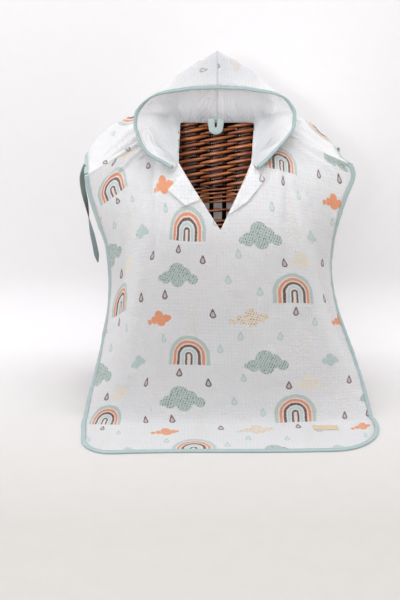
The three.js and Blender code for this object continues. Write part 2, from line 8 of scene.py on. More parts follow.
import bmesh
import bpy
import numpy as np
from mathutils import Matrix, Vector


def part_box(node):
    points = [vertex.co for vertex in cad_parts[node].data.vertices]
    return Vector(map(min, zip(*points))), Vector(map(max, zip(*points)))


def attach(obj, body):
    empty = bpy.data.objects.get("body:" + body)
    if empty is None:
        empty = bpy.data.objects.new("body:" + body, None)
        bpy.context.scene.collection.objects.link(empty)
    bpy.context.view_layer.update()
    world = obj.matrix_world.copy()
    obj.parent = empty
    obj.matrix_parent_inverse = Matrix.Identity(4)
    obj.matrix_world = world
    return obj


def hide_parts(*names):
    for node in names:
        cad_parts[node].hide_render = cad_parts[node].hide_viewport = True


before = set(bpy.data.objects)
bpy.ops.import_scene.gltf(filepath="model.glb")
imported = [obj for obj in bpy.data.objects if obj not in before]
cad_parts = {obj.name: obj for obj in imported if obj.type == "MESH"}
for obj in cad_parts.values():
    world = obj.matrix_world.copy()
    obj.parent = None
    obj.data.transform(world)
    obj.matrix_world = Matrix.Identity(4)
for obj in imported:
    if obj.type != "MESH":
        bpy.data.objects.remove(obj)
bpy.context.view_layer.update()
BODY = "root"

# Driving sizes, in millimetres
CLOTH = 2.0
SEAM = 0.35
HOOD_CLOTH = 1.8
TAPE_WIDE = 8.4
TAPE_THICK = 4.2
NECK_HALF = 75
NECK_PULL = 15
FLOOR_MID = CLOTH / 2
CORNER_USUAL = 56
CORNER_FRONT_RIGHT = 95
PANEL_REACH = (280, 640)
LAY = 0.4
HOOD_LIFT = CLOTH / 2 + LAY + HOOD_CLOTH / 2
CROWN_LATE = 1.45
LABEL_SIZE = (46, 17, 0.9)
LABEL_AT = (203, -196)

# The drape's frame against the object's: the label's middle is known in both.
label_low, label_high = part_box("label")
SHIFT = np.array([
    (label_low[0] + label_high[0]) / 2 - LABEL_AT[0] / 1000,
    (label_low[1] + label_high[1]) / 2 - LABEL_AT[1] / 1000,
    0.0,
])

# Sections of the front panel from the shoulder seam to the hem: the middle's y and z, the left and right
# edge's x, y and z, the share of the width that stays level, the power of the turn and how far the corner
# is rounded.
FRONT_SECTIONS = np.array([
    # middle     left edge         right edge       level bend round
    [60, 552, -246, -60, 462, 243, -60, 482, 0.30, 1.0, 0],
    [-4, 520, -243, -63, 438, 250, -62, 458, 0.28, 1.1, 0],
    [-72, 484, -236, -65, 408, 238, -63, 421, 0.25, 1.3, 0],
    [-114, 428, -224, -66, 365, 229, -62, 382, 0.28, 1.5, 0],
    [-138, 368, -213, -64, 322, 222, -60, 335, 0.38, 1.7, 0],
    [-146, 290, -210, -62, 258, 222, -58, 270, 0.48, 1.9, 0],
    [-149, 205, -217, -72, 188, 236, -76, 197, 0.50, 2.0, 0],
    [-151, 120, -232, -98, 108, 268, -98, 112, 0.50, 2.0, 0],
    [-154, 48, -248, -128, 42, 288, -126, 42, 0.45, 1.9, 0],
    [-168, 6, -255, -152, 5, 295, -152, 5, 0.40, 1.8, 0],
    [-200, 1, -256, -182, 1, 298, -182, 1, 0.40, 1.8, 0.25],
    [-240, 1, -251, -234, 1, 299, -224, 1, 0.40, 1.8, 0.6],
    [-276, 1, -246, -284, 1, 299, -268, 1, 0.20, 1.6, 1],
], dtype=float)

# Sections of the back panel from the shoulder seam over the chair's rim and down behind it.
BACK_SECTIONS = np.array([
    [60, 552, -246, -60, 462, 243, -60, 482, 0.30, 1.0, 0],
    [68, 565, -252, -20, 476, 236, -20, 490, 0.20, 1.8, 0],
    [83, 574, -262, 42, 494, 232, 40, 508, 0.00, 4.9, 0],
    [99, 568, -260, 64, 486, 232, 62, 496, 0.00, 4.6, 0],
    [108, 545, -260, 76, 462, 234, 74, 468, 0.05, 3.2, 0],
    [113, 470, -248, 72, 405, 238, 72, 408, 0.10, 2.4, 0],
    [114, 380, -234, 62, 330, 238, 62, 332, 0.15, 2.0, 0],
    [115, 280, -226, 58, 245, 234, 58, 246, 0.20, 1.9, 0],
    [118, 180, -232, 66, 160, 240, 66, 160, 0.20, 1.8, 0],
    [123, 90, -250, 84, 82, 252, 84, 82, 0.20, 1.8, 0],
    [131, 30, -258, 104, 28, 260, 104, 28, 0.20, 1.8, 0],
    [150, 1, -262, 128, 1, 264, 128, 1, 0.20, 1.8, 0],
    [178, 1, -260, 164, 1, 262, 164, 1, 0.20, 1.8, 0.5],
    [208, 1, -258, 206, 1, 260, 206, 1, 0.20, 1.6, 1],
], dtype=float)

# The largest folds: shares across and down at each end, width and height.
FRONT_FOLDS = [
    (-0.60, 0.16, -0.78, 0.66, 22, 7),
    (0.62, 0.22, 0.84, 0.60, 20, 9),
    (-0.42, 0.06, -0.50, 0.34, 17, 5),
    (0.46, 0.06, 0.50, 0.40, 18, 4),
    (-0.82, 0.30, -0.94, 0.55, 13, -5),
    (0.86, 0.36, 0.98, 0.62, 13, -6),
    (-0.50, 0.05, -0.57, 0.40, 11, -5),
    (0.50, 0.06, 0.55, 0.42, 9, -3.5),
    (-0.34, 0.015, -0.80, 0.055, 8, 3.4),
    (-0.38, 0.050, -0.84, 0.10, 7, -2.6),
]
BACK_FOLDS = [
    (-0.62, 0.30, -0.66, 0.95, 20, 10),
    (-0.30, 0.34, -0.28, 0.98, 22, 8),
    (0.08, 0.42, 0.04, 0.90, 24, 7),
    (0.40, 0.32, 0.46, 0.98, 22, 9),
    (0.74, 0.30, 0.70, 0.90, 17, 8),
    (-0.34, 0.08, -0.96, 0.03, 11, 3.5),
    (0.34, 0.09, 0.96, 0.04, 11, 3.5),
    (-0.30, 0.030, -0.88, 0.010, 6, 3.2),
    (-0.32, 0.055, -0.92, 0.024, 6, -2.8),
    (-0.36, 0.115, -0.97, 0.060, 7, 3.2),
    (0.34, 0.045, 0.90, 0.018, 6, 2.6),
]

# Smaller creases, in the same columns.
FRONT_CREASES = [
    (-0.30, 0.02, -0.62, 0.16, 6, 1.8),
    (-0.36, 0.00, -0.78, 0.11, 5, 1.5),
    (-0.52, 0.02, -0.92, 0.10, 5, 1.6),
    (0.32, 0.02, 0.66, 0.15, 6, 1.8),
    (0.40, 0.00, 0.84, 0.10, 5, 1.5),
    (0.56, 0.02, 0.95, 0.11, 5, 1.4),
    (-0.70, 0.12, -0.74, 0.30, 7, 1.8),
    (-0.88, 0.14, -0.90, 0.34, 6, -1.6),
    (0.74, 0.14, 0.78, 0.32, 7, 1.8),
    (0.90, 0.16, 0.93, 0.34, 6, -1.6),
    (-0.22, 0.36, -0.26, 0.60, 9, 1.0),
    (0.10, 0.40, 0.12, 0.66, 10, 0.9),
    (0.34, 0.36, 0.38, 0.62, 9, 1.1),
    (-0.50, 0.44, -0.56, 0.74, 9, 1.5),
    (0.56, 0.46, 0.66, 0.78, 9, 1.4),
    (-0.12, 0.62, -0.06, 0.80, 11, 1.0),
    (-0.90, 0.56, -0.88, 0.80, 8, 1.7),
    (0.92, 0.60, 0.90, 0.82, 8, 1.8),
    (-0.60, 0.80, 0.20, 0.815, 9, 1.2),
    (0.10, 0.83, 0.80, 0.82, 8, 1.1),
    (-0.40, 0.985, -0.08, 0.975, 9, 2.2),
    (0.30, 0.97, 0.56, 0.985, 9, 1.6),
    (-0.76, 0.90, -0.50, 0.93, 9, 1.5),
]
BACK_CREASES = [
    (-0.30, 0.05, -0.70, 0.02, 6, 1.6),
    (-0.42, 0.10, -0.95, 0.09, 6, 1.8),
    (0.30, 0.05, 0.72, 0.02, 6, 1.6),
    (0.44, 0.11, 0.95, 0.09, 6, 1.8),
    (-0.46, 0.30, -0.48, 0.72, 9, 2.2),
    (-0.14, 0.36, -0.12, 0.80, 9, 2.0),
    (0.24, 0.34, 0.22, 0.78, 9, 2.2),
    (0.58, 0.32, 0.60, 0.84, 9, 2.2),
    (0.88, 0.28, 0.86, 0.70, 8, 2.0),
    (-0.84, 0.30, -0.82, 0.76, 8, 2.2),
    (-0.20, 0.20, 0.30, 0.23, 9, 1.4),
    (-0.70, 0.22, -0.20, 0.26, 9, 1.6),
]


def lerp(a, b, t):
    return a + (b - a) * t


def unit(vectors):
    return vectors / np.maximum(1e-9, np.linalg.norm(vectors, axis=-1, keepdims=True))


def path_lengths(points):
    """Length along a polyline at each of its points."""
    return np.concatenate([[0], np.cumsum(np.linalg.norm(np.diff(points, axis=0), axis=-1))])


def running_mean(rows, reach):
    """Each column averaged over reach rows to both sides."""
    kernel = np.ones(2 * reach + 1) / (2 * reach + 1)
    padded = np.pad(rows, ((reach, reach), (0, 0)), mode="edge")
    return np.stack([np.convolve(column, kernel, "valid") for column in padded.T], -1)


def along_table(rows, place):
    """Smooth interpolation through a table's rows at places from 0 to 1; the last axis holds the columns."""
    at = np.clip(place, 0, 1) * (len(rows) - 1)
    i = np.minimum(np.floor(at).astype(int), len(rows) - 2)
    t = (at - i)[..., None]
    a, b, c, d = (rows[np.clip(i + k, 0, len(rows) - 1)] for k in (-1, 0, 1, 2))
    return b + 0.5 * t * (c - a + t * (2 * a - 5 * b + 4 * c - d + t * (3 * (b - c) + d - a)))


def drape(sections, across, down):
    """Points of a draped panel before its folds, in millimetres."""
    across, down = np.broadcast_arrays(np.asarray(across, float), np.asarray(down, float))
    row = along_table(sections, down)
    side = np.where((across < 0)[..., None], row[..., 2:5], row[..., 5:8])
    away = np.abs(across)
    level, bend, rounding = row[..., 8], np.maximum(1, row[..., 9]), np.maximum(0, row[..., 10])
    turn = np.maximum(0, (away - level) / (1 - level)) ** bend
    wide_corner = (across > 0) & (sections is FRONT_SECTIONS)
    corner = np.where(wide_corner, CORNER_FRONT_RIGHT, CORNER_USUAL)
    over = np.maximum(0, corner - (1 - away) * np.abs(side[..., 0]))
    drop = corner - np.sqrt(np.maximum(0, corner**2 - over**2))
    inward = np.sign(sections[0, 0] - sections[-1, 0])
    x = side[..., 0] * away
    y = lerp(row[..., 0], side[..., 1], turn) + inward * drop * rounding
    z = np.maximum(FLOOR_MID, lerp(row[..., 1], side[..., 2], turn))
    return np.stack([x, y, z], axis=-1)


def normals_of(surface, u, v, flip, step=0.004):
    """Unit normals of a surface given by a function of two shares, facing away from the body."""
    du = surface(u + step, v) - surface(u - step, v)
    dv = surface(u, v + step) - surface(u, v - step)
    normal = np.cross(du, dv) * flip
    return unit(normal)


def fold_height(folds, across, down, reach=PANEL_REACH):
    """How far a table of folds lifts a cloth whose shares span reach in millimetres."""
    height = np.zeros(np.broadcast(across, down).shape)
    for x0, y0, x1, y1, wide, high in folds:
        start = np.array([x0 * reach[0], y0 * reach[1]])
        run = np.array([x1 * reach[0], y1 * reach[1]]) - start
        here_x = across * reach[0] - start[0]
        here_y = down * reach[1] - start[1]
        held = np.clip((here_x * run[0] + here_y * run[1]) / (run @ run), 0, 1)
        off = np.hypot(here_x - held * run[0], here_y - held * run[1])
        height += high * np.sin(np.pi * held) ** 0.6 * np.exp(-((off / wide) ** 2))
    return height


def lattice_noise(u, v, seed):
    """Smooth noise from -1 to 1 with one random value at each whole number of u and v."""
    table = np.random.default_rng(seed).uniform(-1, 1, (128, 128))
    i, j = np.floor(u).astype(int), np.floor(v).astype(int)
    s, t = u - i, v - j
    s, t = s * s * (3 - 2 * s), t * t * (3 - 2 * t)
    corner = lambda a, b: table[(i + a) % 128, (j + b) % 128]
    near = corner(0, 0) * (1 - s) + corner(1, 0) * s
    far = corner(0, 1) * (1 - s) + corner(1, 1) * s
    return near * (1 - t) + far * t


def crinkle(u, v, seed):
    """The washed muslin's puckers, in millimetres, at places in millimetres of flat cloth."""
    drift_u = u + 5 * lattice_noise(u / 37, v / 41, seed + 1)
    drift_v = v + 5 * lattice_noise(u / 43, v / 35, seed + 2)
    upright = lattice_noise(drift_u / 7.5, drift_v / 22, seed + 3)
    level = lattice_noise(drift_u / 24, drift_v / 8.0, seed + 4)
    broad = lattice_noise(drift_u / 46, drift_v / 58, seed + 5)
    slack = lattice_noise(drift_u / 17, drift_v / 19, seed + 6)
    return 0.42 * upright + 0.34 * level + 1.0 * broad + 0.45 * slack


def arc_lengths(points, axis, zero):
    """Arc length along one axis of a grid of points, counted from the index zero."""
    steps = np.linalg.norm(np.diff(points, axis=axis), axis=-1)
    total = np.cumsum(steps, axis=axis)
    total = np.concatenate([np.zeros_like(np.take(total, [0], axis=axis)), total], axis=axis)
    return total - np.take(total, [zero], axis=axis)


def to_object(points):
    """From the drape's millimetres to the object's frame in metres."""
    return np.asarray(points) / 1000 + SHIFT


def mesh_object(name, points, faces, uvs=None, smooth=True):
    """A mesh object from points in metres; uvs are per point, in metres of flat cloth."""
    mesh = bpy.data.meshes.new(name)
    mesh.from_pydata(np.asarray(points).reshape(-1, 3).tolist(), [], faces)
    if uvs is not None:
        layer = mesh.uv_layers.new(name="cloth")
        loops = np.zeros(len(mesh.loops), dtype=np.int32)
        mesh.loops.foreach_get("vertex_index", loops)
        layer.data.foreach_set("uv", np.asarray(uvs, dtype=np.float32).reshape(-1, 2)[loops].ravel())
    mesh.polygons.foreach_set("use_smooth", [smooth] * len(mesh.polygons))
    mesh.update()
    obj = bpy.data.objects.new(name, mesh)
    bpy.context.scene.collection.objects.link(obj)
    return obj


def apply_modifiers(obj):
    """Replaces an object's mesh by what its modifiers make of it."""
    bpy.context.view_layer.update()
    graph = bpy.context.evaluated_depsgraph_get()
    mesh = bpy.data.meshes.new_from_object(obj.evaluated_get(graph))
    old = obj.data
    obj.modifiers.clear()
    obj.data = mesh
    bpy.data.meshes.remove(old)
    return obj


def grid_faces(rows, columns, flip=1):
    """Quads of a grid of rows by columns of points; flip turns their outer side."""
    faces = []
    for i in range(rows - 1):
        low, high = i * columns, (i + 1) * columns
        faces += [(low + j, low + j + 1, high + j + 1, high + j)[::flip] for j in range(columns - 1)]
    return faces


def thicken(obj, thickness, lined=False):
    """Gives a sheet its wall, half to each side; lined gives its inner side the second material."""
    modifier = obj.modifiers.new("wall", "SOLIDIFY")
    modifier.material_offset = 1 if lined else 0
    modifier.thickness = thickness / 1000
    modifier.offset = 0
    modifier.use_even_offset = False
    modifier.use_quality_normals = True
    if lined:
        obj.data.materials.append(None)
        obj.data.materials.append(None)
    return apply_modifiers(obj)


def cut_away(obj, outline, floor_z):
    """Cuts the part of a mesh away that lies above floor_z and inside an outline seen from the front."""
    bm = bmesh.new()
    bm.from_mesh(obj.data)
    for (x0, z0), (x1, z1) in zip(outline, outline[1:]):
        normal = Vector((z1 - z0, 0, x0 - x1)).normalized()
        low, high = min(z0, z1) - 0.004, max(z0, z1) + 0.004
        near = [f for f in bm.faces if any(low <= v.co.z <= high for v in f.verts)]
        geometry = list({v for f in near for v in f.verts}) + list({e for f in near for e in f.edges}) + near
        bmesh.ops.bisect_plane(bm, geom=geometry, dist=1e-6, plane_co=(x0, 0, z0), plane_no=normal)

    def inside(x, z):
        hit = False
        ring = outline + outline[:1]
        for (xa, za), (xb, zb) in zip(ring, ring[1:]):
            if (za > z) != (zb > z) and x < xa + (z - za) * (xb - xa) / (zb - za):
                hit = not hit
        return hit

    gone = []
    for face in bm.faces:
        middle = face.calc_center_median()
        if middle.z > floor_z and inside(middle.x, middle.z):
            gone.append(face)
    bmesh.ops.delete(bm, geom=gone, context="FACES")
    bm.to_mesh(obj.data)
    bm.free()


# Shader building blocks

def srgb(red, green, blue):
    """A colour given in screen numbers from 0 to 255, as linear light."""
    def linear(value):
        value /= 255
        return value / 12.92 if value <= 0.04045 else ((value + 0.055) / 1.055) ** 2.4
    return (linear(red), linear(green), linear(blue), 1.0)


class Expression:
    """A shader socket that can be written in sums."""

    def __init__(self, nodes, socket):
        self.nodes, self.socket = nodes, socket

    def __add__(self, other):
        return self.nodes.math("ADD", self, other)

    def __radd__(self, other):
        return self.nodes.math("ADD", other, self)

    def __sub__(self, other):
        return self.nodes.math("SUBTRACT", self, other)

    def __rsub__(self, other):
        return self.nodes.math("SUBTRACT", other, self)

    def __mul__(self, other):
        return self.nodes.math("MULTIPLY", self, other)

    def __rmul__(self, other):
        return self.nodes.math("MULTIPLY", other, self)

    def __truediv__(self, other):
        return self.nodes.math("DIVIDE", self, other)


class Nodes:
    """Builds a material's node tree."""

    def __init__(self, name):
        self.material = bpy.data.materials.new(name)
        self.material.use_nodes = True
        self.tree = self.material.node_tree
        self.shader = self.tree.nodes["Principled BSDF"]

    def add(self, kind, **settings):
        node = self.tree.nodes.new(kind)
        for key, value in settings.items():
            setattr(node, key, value)
        return node

    def plug(self, target, value):
        if isinstance(value, Expression):
            self.tree.links.new(value.socket, target)
        else:
            target.default_value = value

    def math(self, operation, *values, clamp=False):
        node = self.add("ShaderNodeMath", operation=operation, use_clamp=clamp)
        for target, value in zip(node.inputs, values):
            self.plug(target, value)
        return Expression(self, node.outputs[0])

    def vector(self, x, y, z=0.0):
        node = self.add("ShaderNodeCombineXYZ")
        for target, value in zip(node.inputs, (x, y, z)):
            self.plug(target, value)
        return Expression(self, node.outputs[0])

    def split(self, vector):
        node = self.add("ShaderNodeSeparateXYZ")
        self.plug(node.inputs[0], vector)
        return [Expression(self, socket) for socket in node.outputs]

    def cloth_place(self):
        node = self.add("ShaderNodeUVMap", uv_map="cloth")
        x, y, _ = self.split(Expression(self, node.outputs["UV"]))
        return x * 1000.0, y * 1000.0

    def object_place(self):
        node = self.add("ShaderNodeTexCoord")
        return Expression(self, node.outputs["Object"])

    def noise(self, place, scale, detail=2.0, roughness=0.5, size=3):
        node = self.add("ShaderNodeTexNoise", noise_dimensions=f"{size}D")
        self.plug(node.inputs["Vector"], place)
        node.inputs["Scale"].default_value = scale
        node.inputs["Detail"].default_value = detail
        node.inputs["Roughness"].default_value = roughness
        return Expression(self, node.outputs["Fac"])

    def mix(self, share, first, second):
        node = self.add("ShaderNodeMix", data_type="RGBA")
        self.plug(node.inputs["Factor"], share)
        # Of the node's sockets, these are the ones for colours.
        self.plug(node.inputs[6], first)
        self.plug(node.inputs[7], second)
        return Expression(self, node.outputs[2])

    def step(self, value, edge, soft):
        """0 where value is over the edge and 1 where it is under it."""
        return self.math("MULTIPLY_ADD", value, -1.0 / soft, edge / soft + 0.5, clamp=True)

    def length(self, x, y):
        return self.math("SQRT", x * x + y * y)

    def bump(self, height, distance, strength=1.0):
        node = self.add("ShaderNodeBump")
        self.plug(node.inputs["Height"], height)
        node.inputs["Distance"].default_value = distance
        node.inputs["Strength"].default_value = strength
        self.tree.links.new(node.outputs["Normal"], self.shader.inputs["Normal"])

    def finish(self, roughness, sheen=0.0, coat=0.0, specular=None):
        self.shader.inputs["Roughness"].default_value = roughness
        if sheen:
            self.shader.inputs["Sheen Weight"].default_value = sheen
        if coat:
            self.shader.inputs["Coat Weight"].default_value = coat
            self.shader.inputs["Coat Roughness"].default_value = 0.15
        if specular is not None:
            self.shader.inputs["Specular IOR Level"].default_value = specular
        return self.material


# The print: one repeat of flat cloth in millimetres, with its motifs placed one by one
REPEAT = (388, 240)
# One muslin in two whites: the panels' darker white is painted shade, and the hood's and lapels' lighter
# white is painted light.
HOOD_AND_LAPEL_WHITE_LIT = srgb(244, 243, 245)
PANEL_WHITE_SHADED = srgb(231, 230, 231)
SAGE = srgb(188, 201, 196)
PEACH = srgb(224, 152, 122)
PALE_PEACH = srgb(240, 219, 208)
BROWN = srgb(116, 90, 80)
PALE_TEAL = srgb(197, 212, 211)
ORANGE = srgb(238, 158, 118)
BEIGE = srgb(238, 227, 212)
BEIGE_INK = srgb(196, 168, 138)
FAINT = srgb(227, 219, 208)
GREY_TEAL = srgb(190, 207, 204)
DROP_BROWN = srgb(120, 94, 88)
INK = srgb(98, 114, 110)

# A rainbow's bands from the outside in: outer reach, inner reach and colour.
RAINBOW_BANDS = [
    (38.8, 31.8, SAGE),
    (31.2, 29.6, PALE_PEACH),
    (29.6, 24.2, PEACH),
    (24.2, 21.8, PALE_PEACH),
    (21.8, 16.8, BROWN),
    (14.2, 9.4, PALE_TEAL),
    (6.8, 3.0, BROWN),
    (2.4, 0.0, PALE_PEACH),
]
RAINBOW_FOOT = -19
RAINBOW_WIDE = 0.95

# A cloud is a few round puffs: x, y and radius about its middle.
BIG_CLOUD = [(-2, 9, 17), (14, 3, 14), (-22, -4, 12), (31, -5, 10), (2, -8, 14), (-34, -5, 6)]
SMALL_CLOUD = [(0, 4, 9), (10, 0, 7), (-11, -2, 6), (1, -4, 8), (18, -2, 4)]
TAILED_CLOUD = [(3, 5, 8.5), (5, -3, 10), (17, 0, 6.5), (23, 1, 4), (-9, -2, 6.5), (-20, -5, 4.5)]
CLOUDS = [
    # middle x, y, puffs, size, colour, filling
    (-15, -89, BIG_CLOUD, 1.0, SAGE, "dashes"),
    (143, -14, BIG_CLOUD, 1.0, SAGE, "dashes"),
    (-58, 72, TAILED_CLOUD, 1.08, ORANGE, "plain"),
    (110, 75, TAILED_CLOUD, 1.36, BEIGE, "dots"),
    (220, -57, SMALL_CLOUD, 1.35, BEIGE, "plain"),
    (262, -7, SMALL_CLOUD, 1.05, GREY_TEAL, "plain"),
]
BACK_CLOUDS = [cloud for cloud in CLOUDS if cloud[4] != ORANGE]
HOOD_CLOUDS = [
    (143, -14, BIG_CLOUD, 1.0, SAGE, "dashes"),
    (-58, 72, TAILED_CLOUD, 1.0, BEIGE, "plain"),
    (110, 75, TAILED_CLOUD, 1.5, BEIGE, "dots"),
]
TREES = [(12, 85, 1.0), (214, 28, 1.0)]
BROWN_DROPS = [
    (-17, -38), (35, -57), (-80, -54), (-38, 112), (-92, 112), (50, 80), (183, -64), (196, 82),
]
PALE_DROPS = [(-53, 32), (60, 12), (97, 38), (169, 35), (101, -46), (80, -94), (132, 122), (236, 64)]

# What each kind of cloth carries: its clouds, trees, brown drops and pale drops.
PRINTS = {
    "panel": (CLOUDS, TREES, BROWN_DROPS, PALE_DROPS),
    "back": (BACK_CLOUDS, TREES, BROWN_DROPS, PALE_DROPS),
    "hood": (HOOD_CLOUDS, [], BROWN_DROPS, PALE_DROPS),
    "lapel": ([], [], [(78, 455)], []),
}
WHOLE_RAINBOWS = ("panel", "back")
FADED = 0.22
SMALL_PIECE_PRINT = 0.8
DASH_APART = 4.4
DASH_ROWS = 5.0

# Where some of the front's motifs are seen: image x and y in pixels, and the motif's place in the print.
BACK_RAINBOW_SEEN = (320, 131)
SEEN_ON_FRONT = [
    (186.7, 231.7, 0, 0),
    (189.3, 355.7, 0, -240),
    (112, 190, -194, 120),
    (281.8, 162, 194, 120),
    (294, 293, 194, -120),
    (121.5, 304, -194, -120),
    (295.5, 413.5, 194, -360),
    (105.5, 420.5, -194, -360),
    (193.3, 449, 0, -480),
    (176.7, 276, -15, -89),
    (182.7, 399.5, -15, -329),
    (260.3, 235, 143, -12),
    (265, 362, 143, -252),
    (160.9, 185.7, -58, 72),
    (158.5, 318.2, -58, -168),
    (331.8, 201.8, 330, 72),
    (163.7, 432.3, -58, -408),
    (362, 426.7, 330, -408),
    (249.5, 317, 112, -165),
    (255, 430, 112, -405),
    (138.3, 361, -126, -247),
    (330, 359.3, 262, -247),
    (304, 341, 214, -212),
    (120.7, 393.3, -168, -297),
    (341, 321, 330, -168),
    (147.7, 166, -92, 112),
    (319, 175.5, 296, 112),
    (141, 298, -92, -128),
    (146, 383.3, -80, -294),
    (130, 217, -174, 28),
]


def folded_into_repeat(nodes, u, v, x, y):
    """The place's offset from the nearest copy of a motif at x and y."""
    half_wide, half_high = REPEAT[0] / 2, REPEAT[1] / 2
    du = nodes.math("FLOORED_MODULO", u - (x - half_wide), REPEAT[0]) - half_wide
    dv = nodes.math("FLOORED_MODULO", v - (y - half_high), REPEAT[1]) - half_high
    return du, dv


def paint_rainbow(nodes, colour, u, v, wobble, strength):
    """Both rainbows of the repeat: the second lies half a repeat across and half a repeat up."""
    half_wide, half_high = REPEAT[0] / 2, REPEAT[1] / 2
    column = nodes.math("FLOOR", (u + half_wide / 2) / half_wide)
    parity = nodes.math("FLOORED_MODULO", column, 2.0)
    du = u - column * half_wide
    dv = nodes.math("FLOORED_MODULO", v + parity * half_high + half_high, REPEAT[1]) - half_high
    wide = nodes.math("ABSOLUTE", du) * RAINBOW_WIDE
    high = nodes.math("MAXIMUM", dv, 0.0)
    reach = nodes.length(wide, high) + wobble * 1.6
    above_foot = nodes.step(dv * -1.0, -RAINBOW_FOOT, 1.2)
    for outer, inner, ink in RAINBOW_BANDS:
        band = nodes.step(reach, outer, 1.2)
        if inner:
            band = band - nodes.step(reach, inner, 1.2)
        colour = nodes.mix(band * above_foot * strength, colour, ink)
    return colour


def paint_cloud(nodes, colour, u, v, cloud, dashes, dots, strength):
    x, y, puffs, size, ink, filling = cloud
    du, dv = folded_into_repeat(nodes, u, v, x, y)
    nearest = None
    for px, py, radius in puffs:
        gap = nodes.length(du - px * size, dv - py * size) - radius * size
        nearest = gap if nearest is None else nodes.math("SMOOTH_MIN", nearest, gap, 2.0)
    inside = nodes.step(nearest, 0.0, 1.4)
    if filling == "dashes":
        ink_here = nodes.mix(dashes, ink, INK)
    elif filling == "dots":
        ink_here = nodes.mix(dots, ink, BEIGE_INK)
    else:
        ink_here = ink
    return nodes.mix(inside * strength, colour, ink_here)


def paint_tree(nodes, colour, u, v, tree, strength):
    """A faint fir drawn as nested chevrons, narrow at the top."""
    x, y, size = tree
    du, dv = folded_into_repeat(nodes, u, v, x, y)
    off = nodes.math("ABSOLUTE", du)
    high = dv + 40.0
    chevron = nodes.math("FLOORED_MODULO", high + off * 0.9, 9.0)
    line = nodes.step(chevron, 2.2, 0.8)
    half = nodes.math("MULTIPLY_ADD", high, -0.17, 17.0)
    body = nodes.step(off - half, 0.0, 1.5) * nodes.step(nodes.math("ABSOLUTE", dv), 44.0, 1.5)
    return nodes.mix(body * line * strength, colour, FAINT)


def paint_drop(nodes, colour, u, v, place, ink, strength):
    """An outlined drop 12 by 19 mm, round below and drawn to a point above."""
    du, dv = folded_into_repeat(nodes, u, v, *place)
    du, dv = du * 0.78, dv * 0.78
    above = nodes.math("MAXIMUM", dv, 0.0)
    below = nodes.math("MINIMUM", dv, 0.0)
    body = nodes.length(du * (above * 0.1 + 1.0), below + above * 0.5)
    shape = nodes.step(body, 4.6, 1.0) - nodes.step(body, 2.5, 0.9) * 0.6
    return nodes.mix(shape * strength, colour, ink)


def muslin(name, strength, kind):
    """Printed muslin of a kind in PRINTS; strength is how much of the print shows."""
    nodes = Nodes(name)
    u, v = nodes.cloth_place()
    place = nodes.vector(u, v)
    patch = nodes.noise(place, 0.012, 2.0, size=2)
    # Painted light and shade: the panels take the darker white, the hood and lapels the lighter one.
    white = PANEL_WHITE_SHADED if kind in WHOLE_RAINBOWS else HOOD_AND_LAPEL_WHITE_LIT
    colour = nodes.mix(patch, white, tuple(0.97 * value for value in white[:3]) + (1,))
    wobble = nodes.noise(place, 0.11, 1.0, size=2) - 0.5
    scatter = nodes.noise(place, 0.21, 1.0, size=2) - 0.5
    slant = v + u * 0.25 + scatter * 7.0
    row_shift = nodes.math("FLOOR", slant / DASH_ROWS) * 2.3
    dash_u = nodes.math("FLOORED_MODULO", u + row_shift + scatter * 6.0, DASH_APART)
    dash_v = nodes.math("FLOORED_MODULO", slant, DASH_ROWS)
    dashes = nodes.step(dash_u, 1.3, 0.6) * nodes.step(dash_v, 3.0, 0.9)
    dots = nodes.step(nodes.length(dash_u - 2.1, dash_v - 2.1), 1.35, 0.7)
    clouds, trees, brown_drops, pale_drops = PRINTS[kind]
    for show_u, show_v in HOOD_SHOWS if kind == "hood" else []:
        shown_u, shown_v = u - show_u, v - show_v
        alone = nodes.step(nodes.length(shown_u, shown_v), 60.0, 4.0) * FADED
        colour = paint_rainbow(nodes, colour, shown_u, shown_v, wobble, alone)
    for tree in trees:
        colour = paint_tree(nodes, colour, u, v, tree, 0.8 * strength)
    if kind in WHOLE_RAINBOWS:
        colour = paint_rainbow(nodes, colour, u, v, wobble, strength)
    for cloud in clouds:
        colour = paint_cloud(nodes, colour, u, v, cloud, dashes, dots, strength)
    for drops, ink in ((brown_drops, DROP_BROWN), (pale_drops, GREY_TEAL)):
        for drop in drops:
            colour = paint_drop(nodes, colour, u, v, drop, ink, strength)
    weave_u = nodes.math("SINE", u * (2 * math.pi / 6.5))
    weave_v = nodes.math("SINE", v * (2 * math.pi / 6.8))
    quilt = nodes.math("MAXIMUM", weave_u, weave_v)
    pucker = nodes.noise(place, 0.16, 3.0, 0.6, size=2)
    fine = nodes.noise(place, 0.55, 2.0, 0.6, size=2)
    line = nodes.step(1.0 - quilt, 0.1, 0.12)
    # Painted shade: the quilted grid's lines, which the bump also sinks, are darkened as creases in shade.
    colour = nodes.mix(line * patch * 0.42, colour, srgb(200, 200, 206))
    nodes.plug(nodes.shader.inputs["Base Color"], colour)
    nodes.bump(pucker * 1.3 + fine * 0.4 - line * 0.6, 0.0018, 0.9)
    nodes.shader.inputs["Subsurface Weight"].default_value = 0.85
    nodes.shader.inputs["Subsurface Radius"].default_value = (1.0, 0.95, 0.9)
    nodes.shader.inputs["Subsurface Scale"].default_value = 0.02 if kind == "hood" else 0.006
    return nodes.finish(0.95, sheen=0.12, specular=0.2)


def tape(name, colour_words, ripple=True):
    """Plain cotton tape or binding, with fine diagonal weave."""
    nodes = Nodes(name)
    place = nodes.object_place()
    blotch = nodes.noise(place, 90.0, 2.0)
    colour = nodes.mix(blotch, srgb(*colour_words), srgb(*[value * 0.93 for value in colour_words]))
    nodes.plug(nodes.shader.inputs["Base Color"], colour)
    weave = nodes.noise(place, 1400.0, 2.0) + nodes.noise(place, 260.0, 2.0) * (0.9 if ripple else 0.3)
    nodes.bump(weave, 0.0005, 0.7)
    return nodes.finish(0.92, sheen=0.1, specular=0.2)


# A rod's place in the map: how tall its round is, and how far apart rods lie.
ROD_TALL_UV = 0.012
ROD_STEP_UV = 0.11


